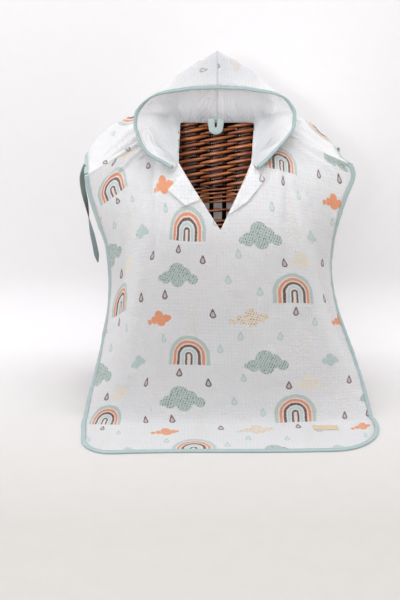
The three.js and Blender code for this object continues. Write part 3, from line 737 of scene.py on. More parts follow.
def wicker(name, bright, dark, glossy=True):
    """Varnished willow: long streaks, tone that differs at random, each rod's lower side darkened as painted
    shade, glossy.
    """
    nodes = Nodes(name)
    node = nodes.add("ShaderNodeUVMap", uv_map="cloth")
    x, y, _ = nodes.split(Expression(nodes, node.outputs["UV"]))
    streaks = nodes.noise(nodes.vector(x * 18.0, y * 900.0), 1.0, 3.0, 0.6, size=2)
    patch = nodes.noise(nodes.vector(x * 30.0, y * 60.0), 1.0, 2.0, 0.5, size=2)
    colour = nodes.mix(nodes.math("MULTIPLY_ADD", patch, 2.4, -0.7, clamp=True), bright, dark)
    colour = nodes.mix(streaks * 0.5, colour, dark)
    # Painted shade: the lower side of each rod's round is mixed towards near-black, as if lit from above.
    upward = nodes.math("FLOORED_MODULO", y, ROD_STEP_UV) * (1 / ROD_TALL_UV)
    shade = tuple(0.2 * value for value in dark[:3]) + (1,)
    colour = nodes.mix(nodes.step(upward, 0.42, 0.6) * 0.92, colour, shade)
    nodes.plug(nodes.shader.inputs["Base Color"], colour)
    nodes.bump(streaks, 0.0006, 0.6)
    if not glossy:
        return nodes.finish(0.9, specular=0.1)
    return nodes.finish(0.3, coat=0.9)


# The camera looks down a little on the front. It comes first, as the print is placed by what it sees.
CAMERA_AT = (-35, -1300, 593)
CAMERA_DOWN = 17
FOCAL_PIXELS = 649
IMAGE_WIDE = 400
IMAGE_TALL = 600
camera_data = bpy.data.cameras.new("camera")
camera_data.sensor_width = 36
camera_data.lens = FOCAL_PIXELS * 36 / IMAGE_TALL
camera = bpy.data.objects.new("camera", camera_data)
camera.location = to_object(CAMERA_AT)
camera.rotation_euler = (math.radians(90 - CAMERA_DOWN), 0, 0)
bpy.context.scene.collection.objects.link(camera)
bpy.context.scene.camera = camera


def seen_at(points):
    """Where points in millimetres are seen in the image, in pixels, and how far away they are."""
    tilt = math.radians(CAMERA_DOWN)
    off = np.asarray(points) - np.array(CAMERA_AT)
    depth = off[..., 1] * math.cos(tilt) - off[..., 2] * math.sin(tilt)
    rise = off[..., 1] * math.sin(tilt) + off[..., 2] * math.cos(tilt)
    x = IMAGE_WIDE / 2 + FOCAL_PIXELS * off[..., 0] / depth
    y = IMAGE_TALL / 2 - FOCAL_PIXELS * rise / depth
    return x, y, depth


def place_seen(points, across, down, x, y):
    """Flat place of the grid's point that is seen at x and y, the nearest one to the camera."""
    image_x, image_y, depth = seen_at(points)
    miss = np.hypot(image_x - x, image_y - y) + (depth - depth.min()) / 200
    best = np.unravel_index(np.argmin(miss), miss.shape)
    return float(across[best]), float(down[best])


def spline_kernel(distance):
    """The thin-plate spline's kernel, which is 0 where the distance is."""
    return np.where(distance > 0, distance**2 * np.log(np.maximum(distance, 1e-9)), 0)


def spread(places, values, at_u, at_v, softness):
    """Thin-plate interpolation of values given at places; softness lets it miss them a little."""
    places = np.asarray(places, float) / 100
    values = np.asarray(values, float)
    count = len(places)
    gaps = np.linalg.norm(places[:, None] - places[None], axis=-1)
    level = np.concatenate([np.ones((count, 1)), places], axis=1)
    system = np.zeros((count + 3, count + 3))
    system[:count, :count] = spline_kernel(gaps) + softness * np.eye(count)
    system[:count, count:] = level
    system[count:, :count] = level.T
    weights = np.linalg.solve(system, np.concatenate([values, np.zeros((3, values.shape[1]))]))
    here = np.stack([at_u, at_v], axis=-1) / 100
    result = weights[count] + here[..., :1] * weights[count + 1] + here[..., 1:] * weights[count + 2]
    for place, weight in zip(places, weights[:count]):
        result = result + spline_kernel(np.linalg.norm(here - place, axis=-1))[..., None] * weight
    return result


def panel_surface(sections, folds, flip):
    plain = lambda u, v: drape(sections, u, v)

    def surface(u, v):
        u, v = np.broadcast_arrays(np.asarray(u, float), np.asarray(v, float))
        points = plain(u, v)
        lifted = points + normals_of(plain, u, v, flip) * fold_height(folds, u, v)[..., None]
        lifted[..., 2] = np.maximum(FLOOR_MID, lifted[..., 2])
        return lifted

    return surface


front_surface = panel_surface(FRONT_SECTIONS, FRONT_FOLDS, -1)
back_surface = panel_surface(BACK_SECTIONS, BACK_FOLDS, 1)


GRIDS = {}


def make_panel(name, surface, flip, creases, counts, seed, level_at, settle):
    """A panel's sheet with its creases and puckers, and its flat place in the cloth map."""
    u, v = np.meshgrid(np.linspace(-1, 1, counts[0]), np.linspace(0, 1, counts[1]))
    points = surface(u, v)
    across = arc_lengths(points, 1, counts[0] // 2)
    down = -arc_lengths(points, 0, int(level_at * (counts[1] - 1)))
    height = fold_height(creases, u, v) + 1.5 * crinkle(across, down, seed)
    edge = np.minimum(1, (1 - np.abs(u)) * 22) * np.minimum(1, (1 - v) * 40) * np.minimum(1, 0.35 + v * 14)
    lying = np.clip(points[..., 2] / 20, 0.32, 1)
    normal = normals_of(surface, u, v, flip)
    points = points + normal * (height * (0.15 + 0.85 * edge) * lying)[..., None]
    points[..., 2] = np.maximum(FLOOR_MID, points[..., 2])
    uvs = np.stack(settle(points, across, down), axis=-1) / 1000
    GRIDS[name] = points
    return mesh_object(name, to_object(points), grid_faces(counts[1], counts[0], flip), uvs)


def settle_front(points, across, down):
    """The print's place on the draped front, which sags, gathers and twists as it hangs."""
    places = [place_seen(points, across, down, x, y) for x, y, _, _ in SEEN_ON_FRONT]
    printed = [(u, v) for _, _, u, v in SEEN_ON_FRONT]
    drift = np.asarray(printed, float) - np.asarray(places, float)
    moved = spread(places, drift, across, down, 0.02)
    return across + moved[..., 0], down + moved[..., 1]


def settle_back(points, across, down):
    """The back's print, started where a rainbow is seen at the right shoulder."""
    start_u, start_v = place_seen(points[:40], across[:40], down[:40], *BACK_RAINBOW_SEEN)
    return across - start_u, down - start_v


SLIT_TOP = 484
SLIT_FOOT = (2, 370)
SLIT_BACK = 555
opening = [
    (-NECK_HALF, 700), (-NECK_HALF, SLIT_TOP), SLIT_FOOT,
    (NECK_HALF - NECK_PULL, SLIT_TOP), (NECK_HALF, SLIT_BACK), (NECK_HALF, 700),
]
opening_in_object = [(x / 1000 + SHIFT[0], z / 1000) for x, z in opening]

front = make_panel("front_cloth", front_surface, -1, FRONT_CREASES, (181, 211), 11, 0.42, settle_front)
cut_away(front, opening_in_object, 0.3)
thicken(front, CLOTH, lined=True)
back = make_panel("back_cloth", back_surface, 1, BACK_CREASES, (141, 171), 23, 0.12, settle_back)
thicken(back, CLOTH, lined=True)


def sweep(name, rings, uvs_along=None):
    """A closed bar through rings of points (rings, around, 3), with flat ends."""
    count, around = rings.shape[:2]
    faces = []
    for i in range(count - 1):
        for j in range(around):
            k = (j + 1) % around
            faces.append((i * around + j, i * around + k, (i + 1) * around + k, (i + 1) * around + j))
    faces.append(tuple(range(around))[::-1])
    faces.append(tuple((count - 1) * around + j for j in range(around)))
    uvs = None
    if uvs_along is not None:
        round_share = np.abs(np.linspace(-1, 1, around)) * 0.03
        uvs = np.stack(np.broadcast_arrays(uvs_along[:, None], round_share[None, :]), axis=-1)
    obj = mesh_object(name, rings, faces, uvs)
    bm = bmesh.new()
    bm.from_mesh(obj.data)
    bmesh.ops.recalc_face_normals(bm, faces=bm.faces[:])
    bm.to_mesh(obj.data)
    bm.free()
    return obj


def even_stations(route, spacing):
    """Places spread evenly along a polyline of shares and points: returns the resampled shares."""
    shares, points = route
    steps = path_lengths(points)
    count = max(8, int(steps[-1] / spacing))
    at = np.linspace(0, steps[-1], count)
    return np.stack([np.interp(at, steps, shares[:, k]) for k in range(shares.shape[1])], axis=-1), at


# Sections of tapes in shares of their half width and half thickness: a folded one, round at the fold and with
# a stitched waist, the loop's with thick edges, and the ties' with two ribs.
FOLDED_TAPE = [
    (-1.0, -0.5), (-0.86, -0.86), (-0.62, -0.80), (-0.2, -1.0), (0.4, -0.98), (0.82, -0.7), (1.0, -0.25),
    (1.0, 0.25), (0.82, 0.7), (0.4, 0.98), (-0.2, 1.0), (-0.62, 0.80), (-0.86, 0.86), (-1.0, 0.5),
]
LOOP_TAPE = [
    (-1, -0.6), (-0.8, -1), (0, -0.8), (0.8, -1), (1, -0.6),
    (1, 0.6), (0.8, 1), (0, 0.8), (-0.8, 1), (-1, 0.6),
]
TIE_TAPE = [
    (-1, -0.5), (-0.9, -1), (-0.3, -0.7), (0.3, -1), (0.9, -1), (1, -0.5),
    (1, 0.5), (0.9, 1), (0.3, 0.7), (-0.3, 1), (-0.9, 1), (-1, 0.5),
]


def section_rings(middle, across, upright, section, wide, thick):
    """A section set round each point of a middle line, with its width and thickness there."""
    wide, thick = (np.broadcast_to(size, len(middle))[:, None, None] / 2 for size in (wide, thick))
    section = np.asarray(section)[None]
    level, raised = across[:, None] * (section[..., :1] * wide), upright[:, None] * (section[..., 1:] * thick)
    return middle[:, None] + level + raised


def make_binding(name, surface, shares, points, flip, outside, gap, seed):
    """Binding along a surface's edge, with small puckers along it."""
    stations, at = even_stations((shares, points), 2.6)
    u, v = stations[:, 0], stations[:, 1]
    middle = surface(u, v)
    along = unit(running_mean(np.gradient(middle, axis=0), 4))
    normal = normals_of(surface, np.clip(u, -0.995, 0.995), np.clip(v, 0.005, 0.995), flip)
    out = unit(np.cross(along, normal) * outside)
    upright = np.cross(out, along)
    ripple = lattice_noise(at / 7.0, at * 0 + 0.5, seed)
    slow = lattice_noise(at / 31.0, at * 0 + 0.5, seed + 1)
    middle = middle + out * (gap + TAPE_WIDE / 2 - 1.2) + upright * (0.5 * ripple + 0.5 * slow)[:, None]
    middle[:, 2] = np.maximum(TAPE_THICK / 2, middle[:, 2])
    wide, thick = TAPE_WIDE * (1 + 0.07 * ripple), TAPE_THICK * (0.92 + 0.12 * slow)
    rings = section_rings(middle, out, upright, FOLDED_TAPE, wide, thick)
    rings[..., 2] = np.maximum(0, rings[..., 2])
    return sweep(name, to_object(rings))


def bound_route(surface, start):
    """Shares and points along a panel's bound edge: down the left, along the hem and up the right."""
    down = np.linspace(start, 1, 400)
    across = np.linspace(-1, 1, 400)
    shares = np.concatenate([
        np.stack([np.full_like(down, -1), down], -1),
        np.stack([across, np.ones_like(across)], -1)[1:-1],
        np.stack([np.full_like(down, 1), down[::-1]], -1),
    ])
    return shares, surface(shares[:, 0], shares[:, 1])


front_binding = make_binding("front_bias", front_surface, *bound_route(front_surface, 0.012), -1, 1, 0.7, 31)
back_binding = make_binding("back_bias", back_surface, *bound_route(back_surface, 0.012), 1, -1, 0.7, 37)

# The hood: neck x and y on the panels, rim x, y and z, the right rim's reach, and the crown's swell
HOOD_SECTIONS = [
    ((-77, -74), (-81, -90, 478), 68, (0, 0, 1)),
    ((-77, -56), (-130, -70, 503), 99, (-2, 2, 0)),
    ((-77, -28), (-151, -38, 536), 134, (-5, 8, -2)),
    ((-77, 4), (-156, -10, 558), 143, (-4, 16, 4)),
    ((-77, 34), (-151, 14, 579), 143, (2, 28, 14)),
    ((-71, 56.5), (-122, 32, 606), 120, (10, 40, 34)),
    ((-36, 59.6), (-64, 44, 619), 62, (0, 50, 66)),
    ((-0.2, 59.6), (-0.2, 47, 623), 0.2, (0, 56, 92)),
]


def neck_place(x, y):
    """A place on the neck's edge, lying on the outer face of the panel under it."""
    low, high = 0.0, 0.3
    for _ in range(30):
        down = (low + high) / 2
        if drape(FRONT_SECTIONS, x / 245, down)[1] > y:
            low = down
        else:
            high = down
    plain = lambda u, v: drape(FRONT_SECTIONS, u, v)
    point = plain(x / 245, low)
    point[0] = x
    return point + normals_of(plain, np.array(x / 245), np.array(max(0.004, low)), -1) * HOOD_LIFT


def hood_sections(side):
    rows = []
    for neck, rim, right, swell in HOOD_SECTIONS:
        height = neck_place(side * -neck[0], neck[1])[2]
        low = min(1, max(0, SLIT_BACK - height) / (SLIT_BACK - SLIT_TOP))
        pull = NECK_PULL * low if side > 0 and neck[0] < -50 else 0
        place = neck_place(side * -neck[0] - pull, neck[1])
        rim_x = right if side > 0 else rim[0]
        rows.append([*place, rim_x, rim[1], rim[2], side * -swell[0], swell[1], swell[2]])
    return np.array(rows)


def hood_surface(side):
    sections = hood_sections(side)

    def surface(round_share, over):
        round_share, over = np.broadcast_arrays(np.asarray(round_share, float), np.asarray(over, float))
        row = along_table(sections, round_share)
        crown = np.sin(np.pi * np.clip(over, 0, 1) ** CROWN_LATE)
        beyond = np.maximum(0, over - 1)
        lift = (crown - 3 * beyond)[..., None]
        return lerp(row[..., 0:3], row[..., 3:6], over[..., None]) + row[..., 6:9] * lift

    return surface


HOOD_CREASES = [
    # round, over at each end, width and height in shares and millimetres
    (0.18, 0.25, 0.34, 0.85, 11, 2.4),
    (0.30, 0.15, 0.46, 0.75, 12, -2.4),
    (0.46, 0.10, 0.55, 0.62, 11, 2.2),
    (0.62, 0.05, 0.64, 0.34, 9, -2.2),
    (0.74, 0.02, 0.72, 0.30, 6, 2.4),
    (0.85, 0.02, 0.80, 0.26, 5, -2.0),
    (0.93, 0.05, 0.90, 0.30, 5, 1.8),
    (0.60, 0.60, 0.86, 0.80, 9, 1.8),
    (0.50, 0.98, 0.60, 0.30, 5, 4.6),
    (0.55, 0.90, 0.66, 0.30, 6, -2.4),
    (0.30, 0.98, 0.24, 0.40, 8, 2.4),
]
HOOD_REACH = (250, 190)

# The hood's print starts from a drop seen on its crown; two rainbows show through from outside.
CROWN_DROP = (50, 80)
CROWN_DROP_SEEN = (201, 70)
HOOD_START = [0.0, 0.0]
SHOWS_SEEN = [(208, 103), (148, 135)]
HOOD_SHOWS = []


def make_hood_half(side, name, seed):
    surface = hood_surface(side)
    counts = (91, 71)
    r, over = np.meshgrid(np.linspace(0, 1, counts[0]), np.linspace(0, 1, counts[1]))
    points = surface(r, over)
    across = arc_lengths(points, 1, counts[0] - 1) * (1 if side < 0 else -1)
    up = arc_lengths(points, 0, counts[1] - 1)
    edge = np.minimum(1, r * 12) * np.minimum(1, over * 8) * np.minimum(1, (1 - over) * 10)
    seam = np.minimum(1, (1 - r) * 9)
    height = (crinkle(across, up, seed) + fold_height(HOOD_CREASES, r, over, HOOD_REACH)) * edge * seam
    height += 1.1 * np.exp(-(((1 - r) * 250 / 5) ** 2))
    normal = normals_of(surface, np.minimum(r, 0.999), np.clip(over, 0.002, 0.998), side)
    normal[:, -1, 0] = 0
    normal[:, -1] = unit(normal[:, -1])
    points = points + normal * height[..., None]
    turned_u, turned_v = side * up, -side * across
    if side < 0:
        crown = over > 0.6
        drop_u, drop_v = place_seen(points[crown], turned_u[crown], turned_v[crown], *CROWN_DROP_SEEN)
        HOOD_START[:] = [drop_u - CROWN_DROP[0], drop_v - CROWN_DROP[1]]
        for x, y in SHOWS_SEEN:
            show_u, show_v = place_seen(points, turned_u, turned_v, x, y)
            HOOD_SHOWS.append((show_u - HOOD_START[0], show_v - HOOD_START[1]))
    uvs = np.stack([turned_u - HOOD_START[0], turned_v - HOOD_START[1]], axis=-1) / 1000
    obj = mesh_object(name, to_object(points), grid_faces(counts[1], counts[0], side), uvs)
    return thicken(obj, HOOD_CLOTH, lined=True)


hood_left = make_hood_half(-1, "hood_cloth_left", 41)
hood_right = make_hood_half(1, "hood_cloth_right", 43)


def make_hood_binding():
    """The bound rim, up the left half and down the right one."""
    surfaces = {-1: hood_surface(-1), 1: hood_surface(1)}
    places = np.linspace(0.015, 0.999, 300)

    def rim(sides, r, over=1.0):
        left, right = surfaces[-1](r, over), surfaces[1](r, over)
        return np.where((sides < 0)[:, None], left, right)

    sides = np.concatenate([np.full(300, -1.0), np.full(300, 1.0)])
    rounds = np.concatenate([places, places[::-1]])
    points = rim(sides, rounds)
    stations, at = even_stations((np.stack([sides, rounds], -1), points), 2.6)
    sides, rounds = np.where(stations[:, 0] < 0, -1.0, 1.0), stations[:, 1]
    middle = rim(sides, rounds)
    along = unit(running_mean(np.gradient(middle, axis=0), 5))
    inward = rim(sides, rounds, 1.0) - rim(sides, rounds, 0.97)
    out = unit(running_mean(inward - along * np.sum(inward * along, axis=-1, keepdims=True), 5))
    upright = np.cross(out, along)
    ripple = lattice_noise(at / 7.0, at * 0 + 0.5, 51)
    slow = lattice_noise(at / 33.0, at * 0 + 0.5, 52)
    middle = middle + out * (TAPE_WIDE / 2 - 0.4) + upright * (0.5 * ripple + 0.6 * slow)[:, None]
    rings = section_rings(middle, out, upright, FOLDED_TAPE, TAPE_WIDE * (1 + 0.07 * ripple), TAPE_THICK)
    return sweep("hood_bias", to_object(rings))


hood_binding = make_hood_binding()


# Turned-back corners of the slit, seen from the front, from the edge outwards
LAPELS = {
    "left": (((-63, 467), (-33, 421)), ((-93, 437), (-62, 411))),
    "right": (((61, 481), (15, 395)), ((85, 455), (50, 417))),
}
LAPEL_LIFT = CLOTH / 2 + 1 + HOOD_CLOTH / 2


def sample_grid(points, across, down):
    """A point of a grid that spans across from -1 to 1 and down from 0 to 1."""
    rows, columns = points.shape[:2]
    column = np.clip((across + 1) / 2 * (columns - 1), 0, columns - 1.001)
    row = np.clip(down * (rows - 1), 0, rows - 1.001)
    i, j = row.astype(int), column.astype(int)
    t, w = (row - i)[..., None], (column - j)[..., None]
    upper = points[i, j] * (1 - w) + points[i, j + 1] * w
    lower = points[i + 1, j] * (1 - w) + points[i + 1, j + 1] * w
    return upper * (1 - t) + lower * t


def front_at(x, z):
    """Point and normal of the front cloth where it is seen at x and z from the front."""
    low, high = np.zeros_like(x), np.full_like(x, 0.7)
    for _ in range(40):
        down = (low + high) / 2
        row = along_table(FRONT_SECTIONS, down)
        across = x / np.abs(np.where(x < 0, row[..., 2], row[..., 5]))
        above = front_surface(across, down)[..., 2] > z
        low, high = np.where(above, down, low), np.where(above, high, down)
    return sample_grid(GRIDS["front_cloth"], across, low), normals_of(front_surface, across, low, -1)


def make_lapel(name, edge, outer, seed):
    counts = (25, 45)
    u, v = np.meshgrid(np.linspace(0, 1, counts[0]), np.linspace(0, 0.94, counts[1]))
    edge, outer = np.array(edge, float), np.array(outer, float)
    inside = edge[0] + (edge[1] - edge[0]) * v[..., None]
    far = np.where(
        (v < 0.5)[..., None],
        outer[0] + (outer[1] - outer[0]) * 2 * v[..., None],
        outer[1] + (edge[1] - outer[1]) * (2 * v[..., None] - 1),
    )
    width = lerp(0.06, 1, u)[..., None]
    seen = inside + (far - inside) * width
    points, normal = front_at(seen[..., 0], seen[..., 1])
    curl = 1.6 * u**2 * np.sin(np.pi * np.clip(v * 1.2, 0, 1)) + 0.5 * lattice_noise(u * 3, v * 6, seed)
    points = points + normal * (LAPEL_LIFT + curl)[..., None]
    uvs = np.stack([seen[..., 0], seen[..., 1]], axis=-1) / 1000
    return thicken(mesh_object(name, to_object(points), grid_faces(counts[1], counts[0]), uvs), HOOD_CLOTH)


lapel_left = make_lapel("lapel_cloth_left", *LAPELS["left"], 61)
lapel_right = make_lapel("lapel_cloth_right", *LAPELS["right"], 63)

# Hanging loop
LOOP_WIDE, LOOP_THICK, LOOP_HALF, LOOP_DROP = 14, 1.6, 9.4, 24
LOOP_AT = (-3, 56.2, 560)


def make_loop():
    steps = 60
    angle = np.pi * (np.linspace(0, 1, steps + 1) - 0.5)
    leg = LOOP_DROP - LOOP_HALF
    middle = np.stack([
        LOOP_AT[0] + LOOP_HALF * np.sin(angle),
        np.full_like(angle, LOOP_AT[1]),
        LOOP_AT[2] - leg * np.minimum(1, 1.6 * np.cos(angle)) - LOOP_HALF * np.cos(angle),
    ], -1)
    out = np.stack([np.sin(angle), angle * 0, -np.cos(angle)], -1)
    rings = section_rings(middle, out, np.array([[0, 1, 0]]), LOOP_TAPE, LOOP_WIDE, LOOP_THICK)
    return sweep("loop_tape", to_object(rings))


loop = make_loop()

# Side ties: flat tapes that hang from under the shoulders
TIE_WIDE, TIE_THICK = 10, 1.4
TIE_ROUTES = {
    "left": [
        (-256, -26, 476), (-262, -34, 456), (-264, -20, 430), (-261, -6, 395), (-257, 0, 354), (-250, 0, 313),
        (-245, 0, 277),
    ],
    "right": [
        (242, 30, 505), (238, 28, 470), (235, 18, 430), (232, 14, 390), (229, 10, 350), (226, 8, 310),
        (224, 6, 286),
    ],
}


def smooth_route(route, count):
    """A smooth run of points through a given route."""
    rows = np.array(route, dtype=float)
    fine = along_table(rows, np.linspace(0, 1, 400))
    steps = path_lengths(fine)
    at = np.linspace(0, steps[-1], count)
    return np.stack([np.interp(at, steps, fine[:, k]) for k in range(3)], -1)


def make_tie(name, route):
    count = 70
    middle = smooth_route(route, count)
    t = np.linspace(0, 1, count)
    along = unit(np.gradient(middle, axis=0))
    angle = np.interp(t, [0, 0.25, 0.48, 0.72, 1], [0.9, 0.1, 1.3, 2.8, 3.3])
    side = np.stack([np.cos(angle), np.sin(angle), angle * 0], -1)
    upright = unit(np.cross(along, side))
    side = np.cross(upright, along)
    wide = TIE_WIDE * np.where(t > 0.93, 1 - 0.75 * (t - 0.93) / 0.07, 1)
    rings = section_rings(middle, side, upright, TIE_TAPE, wide, TIE_THICK)
    return sweep(name, to_object(rings))


ties = {side: make_tie(f"tie_tape_{side}", route) for side, route in TIE_ROUTES.items()}


def make_label():
    wide, deep, thick = LABEL_SIZE
    u, v = np.meshgrid(np.linspace(-0.5, 0.5, 25), np.linspace(-0.5, 0.5, 11))
    x, y = LABEL_AT[0] + u * wide, LABEL_AT[1] + v * deep
    z = CLOTH + LAY + thick / 2 + 0.25 * np.sin(u * 9) + 0.2 * np.abs(v)
    uvs = np.stack([u * wide, v * deep], axis=-1) / 1000
    points = to_object(np.stack([x, y, z], -1))
    return thicken(mesh_object("label_tape", points, grid_faces(11, 25), uvs), thick)


label = make_label()

# The wicker chair
CHAIR_RIM = [
    (0, 83, 562.6), (60, 83, 562.5), (120, 82, 559.8), (168, 76, 548.5), (200, 60, 527), (214, 28, 495),
    (216, -10, 466), (210, -42, 447),
]
RIM_RADIUS = 9
RIM_HALF = 216
RIM_TOP = 562.6
SEAT_TOP = 222
SEAT_HALF = (196, 84)
SEAT_MIDDLE_Y = -6
WALL = 8


def rim_route(count):
    half = np.array(CHAIR_RIM, dtype=float)
    mirrored = half[::-1] * np.array([-1, 1, 1])
    return smooth_route(np.concatenate([mirrored, half[1:]]), count)


RIM_FINE = rim_route(1200)
RIM_STEPS = path_lengths(RIM_FINE)
RIM_LENGTH = RIM_STEPS[-1]


def rim_height(along):
    return np.interp(along, RIM_STEPS, RIM_FINE[:, 2])


def wall_place(along, height_share):
    """A point of the chair's wall: along the rim in millimetres, and from 0 at the rim to 1 at the seat."""
    along = np.clip(along, 0, RIM_LENGTH)
    rim = np.stack([np.interp(along, RIM_STEPS, RIM_FINE[:, k]) for k in range(3)], -1)
    scale = (SEAT_HALF[0] - WALL / 2 - 2) / RIM_HALF
    foot_y = lerp(rim[..., 1], SEAT_MIDDLE_Y, 0.12)
    foot = np.stack([rim[..., 0] * scale, foot_y, np.full(rim.shape[:-1], SEAT_TOP)], -1)
    return rim + (foot - rim) * np.asarray(height_share)[..., None]


def wall_normal(along):
    """Level normal of the wall, pointing out of the chair."""
    step = 3.0
    half_down = np.full_like(along, 0.5)
    run = wall_place(along + step, half_down) - wall_place(along - step, half_down)
    normal = np.stack([-run[..., 1], run[..., 0], np.zeros(run.shape[:-1])], -1)
    return unit(normal)


def wall_at(along, z, outward):
    """A point of the wall at a height, pushed outward or inward."""
    along = np.clip(along, 0, RIM_LENGTH)
    top = rim_height(along)
    share = (top - z) / (top - SEAT_TOP)
    return wall_place(along, share) + wall_normal(along) * np.asarray(outward)[..., None]


def rod_rings(middle, radius, around=7):
    """Rings round a rod's middle line, with a radius for each station."""
    along = unit(np.gradient(middle, axis=0))
    guide = np.array([0.0, 0.0, 1.0]) if abs(along[len(along) // 2, 2]) < 0.8 else np.array([0.0, 1.0, 0.0])
    side = unit(np.cross(along, guide))
    upright = np.cross(side, along)
    angle = np.linspace(0, 2 * np.pi, around, endpoint=False)
    circle = np.stack([np.cos(angle), np.sin(angle)], -1)
    return section_rings(middle, side, upright, circle, 2 * radius, 2 * radius)


class RodBundle:
    """Collects many rods into one mesh."""

    def __init__(self):
        self.points, self.faces, self.uvs = [], [], []
        self.count = 0

    def add(self, rings, seed):
        count, around = rings.shape[:2]
        base = self.count
        for i in range(count - 1):
            for j in range(around):
                k = (j + 1) % around
                a, b = base + i * around, base + (i + 1) * around
                self.faces.append((a + j, b + j, b + k, a + k))
        self.faces.append(tuple(base + j for j in range(around)))
        self.faces.append(tuple(base + (count - 1) * around + j for j in range(around))[::-1])
        along = path_lengths(rings.mean(axis=1)) / 1000 + seed * 0.37
        turn = np.linspace(0, 2 * np.pi, around, endpoint=False)
        across = (1 + np.sin(turn)) * ROD_TALL_UV / 2 + seed * ROD_STEP_UV
        self.uvs.append(np.stack(np.broadcast_arrays(along[:, None], across[None, :]), -1).reshape(-1, 2))
        self.points.append(rings.reshape(-1, 3))
        self.count += count * around

    def build(self, name):
        points = to_object(np.concatenate(self.points))
        return mesh_object(name, points, self.faces, np.concatenate(self.uvs))


STROKE_APART = 58.0
STROKES = int(RIM_LENGTH / STROKE_APART) + 1
SLITS_TOP, BAND_TOP, BAND_FOOT = 410, 383, 351
BAND_ROD = 372
UPPER_PITCH, LOWER_PITCH = 14.8, 8.4
NARROW_FROM = 428
STROKE_SLOPE = 0.16
chance = np.random.default_rng(5)


def row_heights():
    """Heights of the weave's rows, wide under the rim, narrow lower down, with the open band left out."""
    rows = []
    z = 549.0
    while z > SEAT_TOP + 6:
        pitch = UPPER_PITCH if z > NARROW_FROM else LOWER_PITCH
        if not BAND_FOOT < z < BAND_TOP:
            rows.append((z, pitch))
        z -= pitch
    rows.append((BAND_ROD, LOWER_PITCH))
    return rows


def make_weave(side, name):
    """Slanting lens-shaped strokes of rod, one to each gap between stakes, on one face of the wall."""
    bundle = RodBundle()
    number = 0
    for z, pitch in row_heights():
        wide = pitch == UPPER_PITCH
        for stroke in range(-STROKES, STROKES + 1):
            t = np.linspace(0, 1, 19)
            reach = STROKE_APART * chance.uniform(1.32, 1.46)
            shift = (0 if side < 0 else STROKE_APART / 2) + chance.normal(0, 1.2)
            along = RIM_LENGTH / 2 + stroke * STROKE_APART + shift + (t - 0.5) * reach
            keep = (along > 3) & (along < RIM_LENGTH - 3)
            top = rim_height(along) - RIM_RADIUS - 2
            slope = STROKE_SLOPE * (1 if wide else 0.55) * (1 if side < 0 or not wide else -1)
            height = z + (t - 0.5) * reach * slope + chance.normal(0, 0.5 if wide else 0.25)
            if wide:
                height = height - (RIM_TOP - RIM_RADIUS - 2 - top)
            keep &= (height < top) & (height > SEAT_TOP + 3)
            if keep.sum() < 6:
                continue
            lens = np.sin(np.pi * t) ** 0.85
            deepest, highest = (-2.0, 5.0) if side < 0 else (1.6, 5.0)
            bulge = lerp(deepest, highest, lens) * (1 if wide else 0.7)
            radius = (4.3 if wide else 2.5) * (0.34 + 0.66 * lens) * chance.uniform(0.92, 1.08)
            middle = wall_at(along, height, side * bulge)[keep]
            bundle.add(rod_rings(middle, radius[keep], 8), number)
            number += 1
            if wide:
                low = middle - [0, 0, UPPER_PITCH / 2] - wall_normal(along[keep]) * side * 4.4
                underlay.add(rod_rings(low, radius[keep] * 0.66, 7), number)
    return bundle.build(name)


underlay = RodBundle()
weave_inside = make_weave(-1, "wicker_inside")
weave_outside = make_weave(1, "wicker_outside")
under_rods = underlay.build("wicker_underlay")


def make_stakes():
    """Pairs of uprights between the strokes."""
    bundle = RodBundle()
    number = 0
    for stroke in range(-STROKES, STROKES + 1):
        for part in (-1, 1):
            along = RIM_LENGTH / 2 + (stroke + 0.6) * STROKE_APART / 2 + part * 2.3
            if not 6 < along < RIM_LENGTH - 6:
                continue
            top = rim_height(along) - RIM_RADIUS
            z = np.linspace(top, SEAT_TOP + 1, 30)
            middle = wall_at(np.full_like(z, along), z, np.zeros_like(z))
            bundle.add(rod_rings(middle, 2.6, 7), number + 1000)
            number += 1
    return bundle.build("wicker_stakes")


stakes = make_stakes()


def make_shade_sheet():
    """A near-black sheet in the middle of the weave, painted shade: it stops light between the rods and shows
    dark in the gaps, but leaves the band open.
    """
    points, faces = [], []
    along = np.linspace(4, RIM_LENGTH - 4, 160)
    top = rim_height(along) - RIM_RADIUS - 1
    level = [np.full_like(along, z) for z in (SLITS_TOP, BAND_FOOT - 3, SEAT_TOP + 2)]
    for high, low in ((top, level[0]), (level[1], level[2])):
        base = sum(len(p) for p in points)
        for share in np.linspace(0, 1, 9):
            points.append(wall_at(along, lerp(high, low, share), np.zeros_like(along)))
        faces += [tuple(base + k for k in face) for face in grid_faces(9, 160)]
    obj = mesh_object("wicker_shade_sheet", to_object(np.concatenate(points)), faces, np.zeros((9 * 160 * 2, 2)))
    return thicken(obj, 1.2)


shade_sheet = make_shade_sheet()


def make_rim():
    """Four rods twisted round each other along the rim."""
    bundle = RodBundle()
    count = 420
    middle = rim_route(count)
    at = np.linspace(0, RIM_LENGTH, count)
    along = unit(np.gradient(middle, axis=0))
    side = unit(np.cross(along, np.array([0, 0, 1.0])))
    upright = np.cross(side, along)
    strand_radius = RIM_RADIUS * 0.47
    for strand in range(4):
        angle = at / 17 + strand * np.pi / 2
        offset = (RIM_RADIUS - strand_radius) * np.stack([np.cos(angle), np.sin(angle)], -1)
        path = middle + side * offset[:, :1] + upright * offset[:, 1:]
        bundle.add(rod_rings(path, strand_radius, 8), strand + 2000)
    return bundle.build("wicker_rim")


rim = make_rim()


def seat_outline(share, half):
    angle = 2 * np.pi * share
    squash = lambda value: np.sign(value) * np.abs(value) ** (2 / 2.6)
    return half[0] * squash(np.cos(angle)), SEAT_MIDDLE_Y + half[1] * squash(np.sin(angle))


